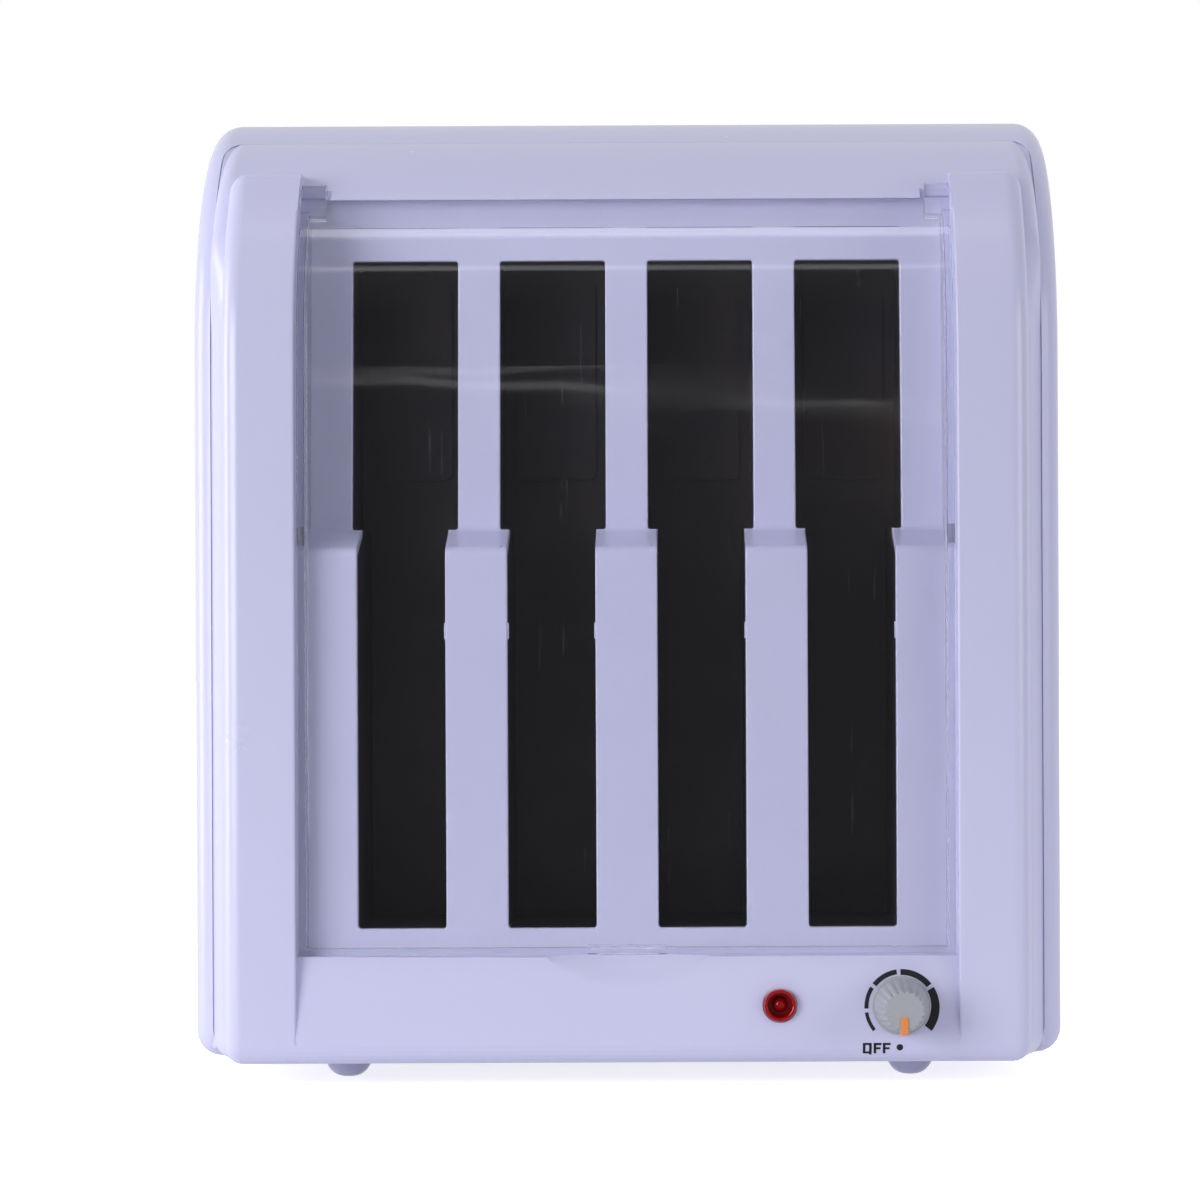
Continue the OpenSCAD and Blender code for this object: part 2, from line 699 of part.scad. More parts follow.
// Collar in the back wall that the mains lead passes through
module cord_gland() color(dark_plastic) difference() {
    union() {
        rod(gland_at[0], gland_at[1], case_d, case_d + gland_proud, 9, 7.5);
        rod(gland_at[0], gland_at[1], case_d - 12, case_d + 0.1, 6);
    }
    rod(gland_at[0], gland_at[1], case_d - 13, case_d + gland_proud + 1, 3.3);
}

module gland_nut() color(dark_plastic) difference() {
    translate([gland_at[0], face_y + case_d - wall - 4.1, foot_h + gland_at[1]]) rotate([-90, 0, 0])
        cylinder(h = 4, d = 17 / cos(30), $fn = 6);
    rod(gland_at[0], gland_at[1], case_d - 12, case_d, 6.05);
}

front_case();
lower_slot_panel();
upper_slot_panel(-1);  // upper_slot_panel_left
upper_slot_panel(1);  // upper_slot_panel_right
rear_case();
lid();
well_at(0);  // heater_well_1
well_at(1);  // heater_well_2
well_at(2);  // heater_well_3
well_at(3);  // heater_well_4
heating_element_at(0);  // heating_element_1
heating_element_at(1);  // heating_element_2
heating_element_at(2);  // heating_element_3
heating_element_at(3);  // heating_element_4
clamp_bar(bar_heights[1]);  // upper_clamp_bar
clamp_bar(bar_heights[0]);  // lower_clamp_bar
clamp_screws();
thermal_cutout();
control_board();
board_screws();
terminal_block();
potentiometer();
potentiometer_nut();
control_shaft();
knob();
knob_pointer();
lamp_lens();
lamp_holder();
lamp_clip();
foot(-foot_x, foot_d[0]);  // foot_front_left
foot(foot_x, foot_d[0]);  // foot_front_right
foot(-foot_x, foot_d[1]);  // foot_rear_left
foot(foot_x, foot_d[1]);  // foot_rear_right
case_screws();
cord_gland();
gland_nut();
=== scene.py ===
import json
import math

import bmesh
import bpy
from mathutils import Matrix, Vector


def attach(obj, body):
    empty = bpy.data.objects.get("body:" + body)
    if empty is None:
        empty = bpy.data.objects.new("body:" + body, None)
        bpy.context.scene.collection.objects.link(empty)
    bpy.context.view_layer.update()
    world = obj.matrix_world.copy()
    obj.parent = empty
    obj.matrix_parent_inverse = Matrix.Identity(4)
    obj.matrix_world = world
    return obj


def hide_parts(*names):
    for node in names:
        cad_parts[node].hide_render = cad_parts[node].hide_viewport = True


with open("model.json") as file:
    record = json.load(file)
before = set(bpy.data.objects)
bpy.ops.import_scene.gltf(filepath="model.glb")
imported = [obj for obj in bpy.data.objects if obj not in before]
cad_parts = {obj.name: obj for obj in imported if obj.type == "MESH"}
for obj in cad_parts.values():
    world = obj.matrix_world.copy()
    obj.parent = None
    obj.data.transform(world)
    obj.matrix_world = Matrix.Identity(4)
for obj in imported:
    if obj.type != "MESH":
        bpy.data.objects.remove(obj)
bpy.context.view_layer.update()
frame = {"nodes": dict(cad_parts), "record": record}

# ---------- camera ----------
# The photograph looks straight at the front from about a metre away, at half
# the heater's height and a little right of its middle, with a slight tilt.

bpy.ops.object.camera_add(location=(0.0165, -1.16375, 0.1488),
                          rotation=(math.radians(90), math.radians(0.25), 0))
camera = bpy.context.object
camera.data.lens = 108.15
camera.data.sensor_width = 36
camera.data.shift_x = -80 / 1200
bpy.context.scene.camera = camera

# ---------- studio ----------
# A white floor and backdrop, with the room left dark in front so that the gloss
# stays calm. Two soft lamps stand on the left and one on the right, two strips
# hang high in front, and two thin tubes leave faint streaks in the clear lid.


def studio_floor():
    material = bpy.data.materials.new("pale floor")
    material.use_nodes = True
    tree = material.node_tree
    shader = tree.nodes["Principled BSDF"]
    shader.inputs["Roughness"].default_value = 0.6
    shader.inputs["Specular IOR Level"].default_value = 0.2
    shader.inputs["Emission Color"].default_value = (1, 1, 1, 1)
    rays = tree.nodes.new("ShaderNodeLightPath")
    glow = tree.nodes.new("ShaderNodeMapRange")
    glow.inputs["To Min"].default_value = 0.10
    glow.inputs["To Max"].default_value = 0.7
    tree.links.new(rays.outputs["Is Camera Ray"], glow.inputs["Value"])
    tree.links.new(glow.outputs["Result"], shader.inputs["Emission Strength"])
    place = tree.nodes.new("ShaderNodeTexCoord")
    patches = tree.nodes.new("ShaderNodeTexNoise")
    patches.inputs["Scale"].default_value = 3
    tone = tree.nodes.new("ShaderNodeMix")
    tone.data_type = "RGBA"
    tone.inputs["A"].default_value = (0.88, 0.88, 0.90, 1)
    tone.inputs["B"].default_value = (0.92, 0.92, 0.93, 1)
    tree.links.new(place.outputs["Object"], patches.inputs["Vector"])
    tree.links.new(patches.outputs["Fac"], tone.inputs["Factor"])
    tree.links.new(tone.outputs["Result"], shader.inputs["Base Color"])
    return material


bpy.ops.mesh.primitive_plane_add(size=6, location=(0, 2.66, 0))
floor = bpy.context.object
bpy.ops.object.transform_apply(location=True, rotation=False, scale=False)
floor.name = "studio_floor"
floor.data.materials.append(studio_floor())
floor.visible_glossy = False


def studio_room():
    """White where it is seen, also through the lid. The heater itself meets it dark in front."""
    world = bpy.data.worlds.new("studio room")
    world.use_nodes = True
    tree = world.node_tree
    new, link = tree.nodes.new, tree.links.new
    room = tree.nodes["Background"]
    direction = new("ShaderNodeTexCoord")
    parts = new("ShaderNodeSeparateXYZ")
    span = new("ShaderNodeMapRange")
    span.inputs["From Min"].default_value = -1
    walls = new("ShaderNodeValToRGB")
    walls.color_ramp.elements[0].position = 0.06
    walls.color_ramp.elements[0].color = (0.13, 0.13, 0.14, 1)
    walls.color_ramp.elements[1].position = 1
    walls.color_ramp.elements[1].color = (0.80, 0.80, 0.82, 1)
    side = walls.color_ramp.elements.new(0.30)
    side.color = (0.42, 0.42, 0.44, 1)
    link(direction.outputs["Generated"], parts.inputs["Vector"])
    link(parts.outputs["Y"], span.inputs["Value"])
    link(span.outputs["Result"], walls.inputs["Fac"])
    link(walls.outputs["Color"], room.inputs["Color"])
    backdrop = new("ShaderNodeBackground")
    backdrop.inputs["Color"].default_value = (1, 1, 1, 1)
    rays = new("ShaderNodeLightPath")
    bounces = new("ShaderNodeMath")
    straight = new("ShaderNodeMath")
    straight.operation = "LESS_THAN"
    straight.inputs[1].default_value = 0.5
    through = new("ShaderNodeMath")
    through.operation = "MULTIPLY"
    seen = new("ShaderNodeMath")
    seen.operation = "MAXIMUM"
    link(rays.outputs["Diffuse Depth"], bounces.inputs[0])
    link(rays.outputs["Glossy Depth"], bounces.inputs[1])
    link(bounces.outputs["Value"], straight.inputs[0])
    link(straight.outputs["Value"], through.inputs[0])
    link(rays.outputs["Is Transmission Ray"], through.inputs[1])
    link(rays.outputs["Is Camera Ray"], seen.inputs[0])
    link(through.outputs["Value"], seen.inputs[1])
    either = new("ShaderNodeMixShader")
    link(seen.outputs["Value"], either.inputs["Fac"])
    link(room.outputs["Background"], either.inputs[1])
    link(backdrop.outputs["Background"], either.inputs[2])
    link(either.outputs["Shader"], tree.nodes["World Output"].inputs["Surface"])
    return world


bpy.context.scene.world = studio_room()


def softbox(name, place, aim, width, height, watts):
    bpy.ops.object.light_add(type="AREA", location=place)
    lamp = bpy.context.object
    lamp.name = name
    lamp.rotation_euler = (Vector(aim) - Vector(place)).to_track_quat("-Z", "Y").to_euler()
    lamp.data.shape = "RECTANGLE"
    lamp.data.size = width
    lamp.data.size_y = height
    lamp.data.energy = watts


middle_of_heater, top_of_heater = (0, 0, 0.15), (0, 0, 0.25)
softbox("key lamp", (-1.35, -1.3, 0.45), middle_of_heater, 1.0, 1.0, 19.5)
softbox("side lamp", (-1.5, 0.1, 0.35), middle_of_heater, 0.6, 0.9, 6.5)
softbox("fill lamp", (1.5, -0.9, 0.45), middle_of_heater, 0.9, 0.9, 6.5)
softbox("high strip", (0, -0.68, 1.60), top_of_heater, 1.8, 0.11, 1.5)
softbox("low strip", (0, -1.05, 1.33), top_of_heater, 1.8, 0.05, 0.4)
tube_away, tube_width = -3, 0.009
for name, x, z, length, tilt, watts in (("long tube", -0.03, 0.382, 0.90, 3.1, 0.022),
                                        ("short tube", -0.24, 0.409, 0.50, -1.5, 0.008)):
    softbox(name, (x, tube_away, z), (x, 0, z), length, tube_width, watts)
    bpy.context.object.rotation_euler.y = math.radians(tilt)

bpy.context.scene.view_settings.view_transform = "Standard"

# ---------- rear case ----------
# The back half of the body: one deep white moulding with 8 mm rounded edges, a
# quarter-round top and a front mouth. Its rim shows as a band all around the
# front moulding. It has air slots, and six tubes that lead the case screws in.

mm = 0.001
face_y = -63.75
foot_h = 7
half_w = 135
case_h = 299.2
case_d = 140
wall = 3
rim_back = 20
rim_r = 80
mouth_half = 129.2
mouth_top = 289.2
edge_r = 8
screw_posts = [(115, 20), (115, 150), (112, 252)]
post_d, post_r, screw_bore_r = 70, 5.6, 3.9
gland_x, gland_h, gland_hole_r = -85, 24, 6.1
back_slot_low, back_slot_high, back_slot_half = 195, 245, 2
floor_slot_front, floor_slot_back, floor_slot_half = 58, 92, 1.75
slot_spacing = 14


def spot(x, d, h):
    """A place x across, d behind the pillar faces and h above the case's underside, in metres."""
    return Vector((x, face_y + d, foot_h + h)) * mm


def mid(part):
    """The middle of an edge or a face, as across, depth and height in millimetres."""
    p = sum((v.co for v in part.verts), Vector()) / len(part.verts)
    return p.x / mm, p.y / mm - face_y, p.z / mm - foot_h


def only(piece):
    bpy.ops.object.select_all(action="DESELECT")
    piece.select_set(True)
    bpy.context.view_layer.objects.active = piece


def block(name, low, high):
    """A box between two corners."""
    low, high = spot(*low), spot(*high)
    bpy.ops.mesh.primitive_cube_add(size=1, location=(low + high) / 2, scale=high - low)
    bpy.ops.object.transform_apply(location=True, rotation=True, scale=True)
    bpy.context.object.name = name
    return bpy.context.object


def pick(piece, kind, test):
    """Opens a piece for editing with only those parts selected that pass the test."""
    only(piece)
    bpy.ops.object.mode_set(mode="EDIT")
    bpy.ops.mesh.select_mode(type=kind)
    bpy.ops.mesh.select_all(action="DESELECT")
    mesh = bmesh.from_edit_mesh(piece.data)
    for part in {"VERT": mesh.verts, "EDGE": mesh.edges, "FACE": mesh.faces}[kind]:
        if test(part):
            part.select_set(True)
    bmesh.update_edit_mesh(piece.data)


def done():
    bpy.ops.object.mode_set(mode="OBJECT")


def round_edges(piece, test, radius, steps):
    pick(piece, "EDGE", test)
    bpy.ops.mesh.bevel(offset=radius * mm, segments=steps, profile=0.5, affect="EDGES")
    done()


def combine(piece, tool, how="DIFFERENCE"):
    only(piece)
    change = piece.modifiers.new("combine", "BOOLEAN")
    change.operation = how
    change.solver = "MANIFOLD"
    change.object = tool
    bpy.ops.object.modifier_apply(modifier=change.name)
    bpy.data.objects.remove(tool)
    piece.data.materials.clear()


def joined(pieces):
    bpy.ops.object.select_all(action="DESELECT")
    for piece in pieces:
        piece.select_set(True)
    bpy.context.view_layer.objects.active = pieces[0]
    bpy.ops.object.join()
    return pieces[0]


def rod(name, x, h, d0, d1, r, sides=48):
    """A round bar along the depth."""
    bpy.ops.mesh.primitive_cylinder_add(vertices=sides, radius=r * mm, depth=(d1 - d0) * mm,
                                        location=spot(x, (d0 + d1) / 2, h),
                                        rotation=(math.radians(90), 0, 0))
    bpy.ops.object.transform_apply(location=True, rotation=True, scale=True)
    bpy.context.object.name = name
    return bpy.context.object


def smooth(piece, angle=35):
    """Shades a piece smooth while its flat faces stay flat."""
    only(piece)
    bpy.ops.object.shade_smooth_by_angle(angle=math.radians(angle))
    flat = piece.modifiers.new("flat faces", "WEIGHTED_NORMAL")
    flat.keep_sharp = True
    bpy.ops.object.modifier_apply(modifier=flat.name)


def along_x(edge):
    a, b = edge.verts
    return abs(a.co.x - b.co.x) > 0.9 * (a.co - b.co).length


def shell_form(name, half, front, rear, low, high, top_r, edge):
    """A box with a quarter-round top front edge and rounded ends, before any opening."""
    form = block(name, (-half, front, low), (half, rear, high))
    round_edges(form, lambda e: along_x(e) and mid(e)[1] < front + 1 and mid(e)[2] > high - 1,
                top_r, 32)
    corners = [(front, low), (rear, low), (rear, high)]
    round_edges(form, lambda e: abs(mid(e)[0]) > half - 0.5 or (along_x(e) and any(
        abs(mid(e)[1] - d) < 0.5 and abs(mid(e)[2] - h) < 0.5 for d, h in corners)), edge, 6)
    return form


def shell_plastic():
    """Glossy white moulded plastic with a violet cast, faint mould texture and handling marks."""
    material = bpy.data.materials.new("shell plastic")
    material.use_nodes = True
    tree = material.node_tree
    new, link = tree.nodes.new, tree.links.new
    shader = tree.nodes["Principled BSDF"]
    shader.inputs["IOR"].default_value = 1.5
    place = new("ShaderNodeTexCoord")
    cloud = new("ShaderNodeTexNoise")
    cloud.inputs["Scale"].default_value = 9
    cloud.inputs["Detail"].default_value = 4
    tone = new("ShaderNodeMix")
    tone.data_type = "RGBA"
    tone.inputs["A"].default_value = (0.600, 0.600, 0.845, 1)
    tone.inputs["B"].default_value = (0.640, 0.640, 0.875, 1)
    link(place.outputs["Object"], cloud.inputs["Vector"])
    link(cloud.outputs["Fac"], tone.inputs["Factor"])
    link(tone.outputs["Result"], shader.inputs["Base Color"])
    handling = new("ShaderNodeTexNoise")
    handling.inputs["Scale"].default_value = 42
    handling.inputs["Detail"].default_value = 6
    gloss = new("ShaderNodeMapRange")
    gloss.inputs["To Min"].default_value = 0.20
    gloss.inputs["To Max"].default_value = 0.30
    link(place.outputs["Object"], handling.inputs["Vector"])
    link(handling.outputs["Fac"], gloss.inputs["Value"])
    link(gloss.outputs["Result"], shader.inputs["Roughness"])
    grain = new("ShaderNodeTexNoise")
    grain.inputs["Scale"].default_value = 700
    grain.inputs["Detail"].default_value = 2
    skin = new("ShaderNodeBump")
    skin.inputs["Strength"].default_value = 0.08
    skin.inputs["Distance"].default_value = 0.0002
    link(place.outputs["Object"], grain.inputs["Vector"])
    link(grain.outputs["Fac"], skin.inputs["Height"])
    link(skin.outputs["Normal"], shader.inputs["Normal"])
    return material


shell_white = shell_plastic()

rear_case = shell_form("rear_shell", half_w, rim_back, case_d, 0, case_h, rim_r, edge_r)
hollow = shell_form("hollow", half_w - wall, rim_back + wall, case_d - wall, wall,
                    case_h - wall, rim_r - wall, edge_r - wall)
combine(rear_case, hollow)
mouth_back, mouth_r = 115, 6
mouth = block("mouth", (-mouth_half, rim_back - 10, wall), (mouth_half, mouth_back, mouth_top))
half_way = (rim_back - 10 + mouth_back) / 2
round_edges(mouth, lambda e: not along_x(e) and abs(mid(e)[1] - half_way) < 1, mouth_r, 5)
combine(rear_case, mouth)
posts = [(s * x, h) for s in (-1, 1) for x, h in screw_posts]
tubes = [rod("tube", x, h, post_d, case_d - 1, post_r) for x, h in posts]
combine(rear_case, joined(tubes), "UNION")
bores = [rod("bore", x, h, post_d + 2.5, case_d + 1, screw_bore_r) for x, h in posts]
bores += [rod("bore", gland_x, gland_h, case_d - 10, case_d + 1, gland_hole_r)]
combine(rear_case, joined(bores))
slots = []
for i in range(-4, 5):
    x = i * slot_spacing
    slot = block("air slot", (x - back_slot_half, case_d - 10, back_slot_low),
                 (x + back_slot_half, case_d + 1, back_slot_high))
    round_edges(slot, lambda e: not along_x(e) and abs(mid(e)[1] - case_d + 4.5) < 1,
                back_slot_half - 0.1, 4)
    slots.append(slot)
    x -= slot_spacing / 2
    slot = block("air slot", (x - floor_slot_half, floor_slot_front, -1),
                 (x + floor_slot_half, floor_slot_back, wall + 1))
    round_edges(slot, lambda e: not along_x(e) and abs(mid(e)[2] - wall / 2) < 0.1,
                floor_slot_half - 0.05, 4)
    slots.append(slot)
combine(rear_case, joined(slots))


def on_rim(edge):
    x, d, h = mid(edge)
    if h < 4:
        return abs(h - wall) < 0.05 and abs(d - rim_back) < 0.3 and abs(x) < mouth_half - 1
    reach = math.hypot(d - rim_back - rim_r, h - case_h + rim_r)
    outer = abs(d - rim_back) < 0.3 if h < case_h - rim_r else abs(reach - rim_r) < 0.3
    side = abs(abs(x) - mouth_half) < 0.05 or abs(h - mouth_top) < 0.05
    return outer and side


round_edges(rear_case, on_rim, 0.6, 3)
smooth(rear_case)
rear_case.data.materials.append(shell_white)
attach(rear_case, "housing")
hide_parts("rear_case")

# ---------- front moulding ----------
# The front half of the body, moulded in one piece with its two pillars, the
# control strip and the open bay. It widens towards the rear case's rim, and
# the pillars stand 7 mm out of it and follow the same curve over the top.

curve_d, curve_h = 87, 213.5
block_half, block_face, block_r, block_edge = 125, 7, 80, 6
flare_half, flare_front, flare_back = 129, 13, 21
rim_gap = 0.3
bay_half, bay_floor, bay_top, bay_wall = 101.3, 33, 267.3, 2.5
pillar_out, pillar_top, pillar_r, pillar_edge, pillar_back = 123.8, 275.5, 87, 6, 38
strip_recess = 3.5
notch_w, notch_top = 9.2, 272.4
dish_r, dish_long, dish_lean, dish_d = 91, 31, 32, 8
control_h, lamp_x, knob_x = 17.9, 46.5, 83.5
lamp_seat_r, lamp_hole_r, nut_seat_r, neck_hole_r = 5.35, 4.1, 6.6, 3.6


def flared(form, widest, narrowest):
    """Pulls a form's sides in towards its front, one ring of corners at a time."""
    for depth in (flare_front, flare_back):
        pick(form, "FACE", lambda f: True)
        bpy.ops.mesh.bisect(plane_co=spot(0, depth, 0), plane_no=(0, 1, 0))
        done()
    depths = sorted({round(v.co.y / mm - face_y, 2) for v in form.data.vertices})
    for depth in [d for d in depths if d < flare_back - 0.1]:
        share = max(0.0, (depth - flare_front) / (flare_back - flare_front))
        half = narrowest + (widest - narrowest) * share
        pick(form, "VERT", lambda v: abs(v.co.y / mm - face_y - depth) < 0.006)
        bpy.ops.transform.resize(value=(half / widest, 1, 1), center_override=(0, 0, 0))
        done()
    return form


front = flared(shell_form("front_moulding", flare_half, block_face, 100, 0, curve_h + block_r,
                          block_r, block_edge), flare_half, block_half)
tongue = shell_form("tongue", mouth_half + 0.1, rim_back + rim_gap, 100, 0, case_h - rim_gap,
                    rim_r - rim_gap, 1)
combine(front, tongue, "UNION")


def side_plate(name, x0, x1, outline):
    """A plate cut to a side outline of depths and heights, from x0 to x1 across."""
    bpy.ops.object.select_all(action="DESELECT")
    bpy.ops.mesh.primitive_circle_add(vertices=len(outline), radius=0.05, fill_type="NGON")
    plate = bpy.context.object
    plate.name = name
    for corner, (d, h) in zip(plate.data.vertices, outline):
        corner.co = spot(x0, d, h)
    pick(plate, "FACE", lambda f: True)
    bpy.ops.mesh.extrude_region_move(TRANSFORM_OT_translate={"value": ((x1 - x0) * mm, 0, 0)})
    bpy.ops.mesh.select_all(action="SELECT")
    bpy.ops.mesh.normals_make_consistent(inside=False)
    done()
    return plate


def arc(d, h, r, start, end, steps=8):
    """Places of depth and height along an arc, in degrees from the back over the top."""
    angles = [math.radians(start + (end - start) * i / steps) for i in range(steps + 1)]
    return [(d + r * math.cos(a), h + r * math.sin(a)) for a in angles]


lean = math.asin((pillar_top - pillar_edge - curve_h) / (pillar_r - pillar_edge))
crown_d = curve_d - (pillar_r - pillar_edge) * math.cos(lean)
lean = math.degrees(lean)
pillar_side = [
    *arc(pillar_edge, pillar_edge, pillar_edge, 270, 180),
    *arc(curve_d, curve_h, pillar_r, 180, 180 - lean, 24),
    *arc(crown_d, pillar_top - pillar_edge, pillar_edge, 179 - lean, 90),
    (pillar_back, pillar_top), (pillar_back, 0)]
pillars = []
for s in (-1, 1):
    pillar = side_plate("pillar", *sorted((s * bay_half, s * pillar_out)), pillar_side)
    round_edges(pillar, lambda e: abs(mid(e)[0]) > pillar_out - 0.1
                and mid(e)[1] < pillar_back - 0.1, pillar_edge - 0.1, 6)
    pillars.append(pillar)
for pillar in pillars:
    combine(front, pillar, "UNION")

strip = block("control strip", (-bay_half - 1, 0, 0), (bay_half + 1, 12, bay_floor))
pick(strip, "FACE", lambda f: True)
bpy.ops.mesh.bisect(plane_co=spot(0, 0, pillar_edge), plane_no=(0, 0, 1))
done()
pick(strip, "EDGE", lambda e: along_x(e) and mid(e)[1] < 1 and mid(e)[2] > bay_floor - 1)
bpy.ops.transform.translate(value=(0, strip_recess * mm, 0))
done()
round_edges(strip, lambda e: along_x(e) and mid(e)[1] < 0.1 and mid(e)[2] < 0.1,
            pillar_edge - 0.02, 6)
combine(front, strip, "UNION")

hollow = flared(shell_form("hollow", flare_half - wall, block_face + wall, 110, wall,
                           curve_h + block_r - wall, block_r - wall, block_edge - wall),
                flare_half - wall, block_half - wall)
combine(hollow, block("bay wall", (-bay_half - bay_wall, -30, bay_floor - bay_wall),
                      (bay_half + bay_wall, 40, bay_top + bay_wall)))
combine(front, hollow)
side, back, over, under = 150, 130, case_h + 9, -9
for name, low, high in (
        ("bay", (-bay_half, -30, bay_floor), (bay_half, back, bay_top)),
        ("over the rim", (-side, rim_back - 0.2, mouth_top + rim_gap), (side, back, over)),
        ("behind the rim", (-side, 72, under), (side, back, over)),
        ("under the floor", (-side, rim_back - 0.2, under), (side, back, wall + 0.2)),
        ("lower back", (-side, 31, under), (side, back, 150))):
    combine(front, block(name, low, high))
for s in (-1, 1):
    low, high = sorted((s * (bay_half - notch_w), s * (bay_half + 0.03)))
    combine(front, block("lug notch", (low, -9, bay_top - 4), (high, 31, notch_top)))

bpy.ops.mesh.primitive_cylinder_add(vertices=256, radius=dish_r * mm, depth=dish_long * mm)
dish = bpy.context.object
bpy.ops.transform.translate(value=(0, -dish_r * mm, (1 - dish_long / 2) * mm))
bpy.ops.object.transform_apply(location=True, rotation=True, scale=True)
dish.rotation_euler = (math.radians(-dish_lean), 0, 0)
dish.location = spot(0, dish_d, bay_floor)
bpy.ops.object.transform_apply(location=True, rotation=True, scale=True)
combine(front, dish)
for hole in (rod("lamp seat", lamp_x, control_h, -5, 2.2, lamp_seat_r),
             rod("nut seat", knob_x, control_h, -5, 2.6, nut_seat_r),
             rod("lamp hole", lamp_x, control_h, -5, 20, lamp_hole_r),
             rod("neck hole", knob_x, control_h, -5, 20, neck_hole_r)):
    combine(front, hole)


def lip_of_bay(edge):
    """The edges around the mouth of the bay: pillar edges, strip top and ceiling."""
    x, d, h = mid(edge)
    if edge.calc_face_angle(0) < 0.6:
        return False
    if abs(abs(x) - bay_half) < 0.02 and not along_x(edge):
        reach = math.hypot(d - curve_d, h - curve_h)
        return bay_floor < h < pillar_top - 7 and (
            abs(d) < 0.05 if h < curve_h else abs(reach - pillar_r) < 0.3)
    return along_x(edge) and abs(x) < bay_half - 9.5 and (
        (abs(h - bay_top) < 0.05 and 26 < d < 29) or (abs(h - bay_floor) < 0.05 and 3 < d < 4))


round_edges(front, lip_of_bay, 0.7, 3)
smooth(front)
front.data.materials.append(shell_white)
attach(front, "housing")
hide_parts("front_case")

# ---------- slot panel ----------
# The wall at the back of the bay. Its lower part stands forward and its upper
# part lies 18 mm further back and leans, with a sloping shelf between them.
# Four slots run through both parts and are wider above, for the roller heads.

panel_d, shelf_d, head_d, panel_t = 9, 27, 34.5, 2.5
shelf_low, shelf_high = 157.8, 164
slot_floor, slot_top = 41.1, 248.3
slot_half, head_half = 13.55, 16.5
pitch = 46.2
centres = [i * pitch for i in (-1.5, -0.5, 0.5, 1.5)]
tool_back = 60
nub_low, nub_high = 130, 135
sink_low, sink_high = 158.4, 158.8


def panel_front(h):
    if h <= shelf_low:
        return panel_d
    if h <= shelf_high:
        return panel_d + (shelf_d - panel_d) * (h - shelf_low) / (shelf_high - shelf_low)
    return shelf_d + (head_d - shelf_d) * (h - shelf_high) / (bay_top - shelf_high)


def eased(before, corner, after, reach, steps=8):
    """Points of a soft bend in place of a corner, from a reach before it to a reach after it."""
    corner, start, end = (Vector(p) for p in (corner, before, after))
    start = corner + (start - corner).normalized() * reach
    end = corner + (end - corner).normalized() * reach
    return [tuple(start * (1 - t) ** 2 + corner * 2 * t * (1 - t) + end * t * t)
            for t in (i / steps for i in range(steps + 1))]


foot_line, shoulder = (panel_d, bay_floor - 0.1), (panel_d, shelf_low)
inner_line, head_line = (shelf_d, shelf_high), (head_d, bay_top + 0.1)
panel = side_plate("slot_panel", -bay_half - 0.1, bay_half + 0.1, [
    foot_line, *eased(foot_line, shoulder, inner_line, 2.6),
    *eased(shoulder, inner_line, head_line, 2.2), head_line, (head_d + panel_t, bay_top + 0.1),
    (shelf_d + panel_t, shelf_high - 1.9), (panel_d + panel_t, shelf_low - 1.9),
    (panel_d + panel_t, bay_floor - 0.1)])


def slot_tool(x, half, front, low, high, corner):
    tool = block("slot tool", (x - half, front, low), (x + half, tool_back, high))
    half_way = (front + tool_back) / 2
    round_edges(tool, lambda e: not along_x(e) and abs(mid(e)[1] - half_way) < 1, corner, 4)
    return tool


for x in centres:
    combine(panel, slot_tool(x, slot_half, -5, slot_floor, shelf_high + 5, 1))
    combine(panel, slot_tool(x, head_half, panel_d + 3, shelf_high, slot_top, 0.8))


def slot_rim(edge):
    x, d, h = mid(edge)
    return (edge.calc_face_angle(0) > 0.9 and d < panel_front(h) + 0.9
            and abs(x) < bay_half - 0.5 and bay_floor + 1 < h < bay_top - 1)


round_edges(panel, slot_rim, 0.55, 3)
for x, inward in ((-55.75, -1), (-36.65, 1), (-9.55, -1), (36.65, -1), (82.85, -1)):
    low, high = sorted((x + inward * 0.4, x - inward * 0.6))
    combine(panel, block("gate nub", (low, panel_d + 0.5, nub_low),
                         (high, panel_d + 2, nub_high)), "UNION")
for x in (-pitch, 0, pitch):
    for low, high in ((-7.7, -5.5), (7.4, 8.5)):
        combine(panel, block("sink mark", (x + low, panel_d - 1, sink_low),
                             (x + high, panel_d + 3, sink_high)))
smooth(panel)
panel.data.materials.append(shell_white)
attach(panel, "housing")
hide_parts("lower_slot_panel", "upper_slot_panel_left", "upper_slot_panel_right")

# ---------- heater wells ----------
# Four deep sheet-metal troughs behind the slots, coated satin black. The wax
# cartridges rub on them, so the coating carries fine upright scratches.


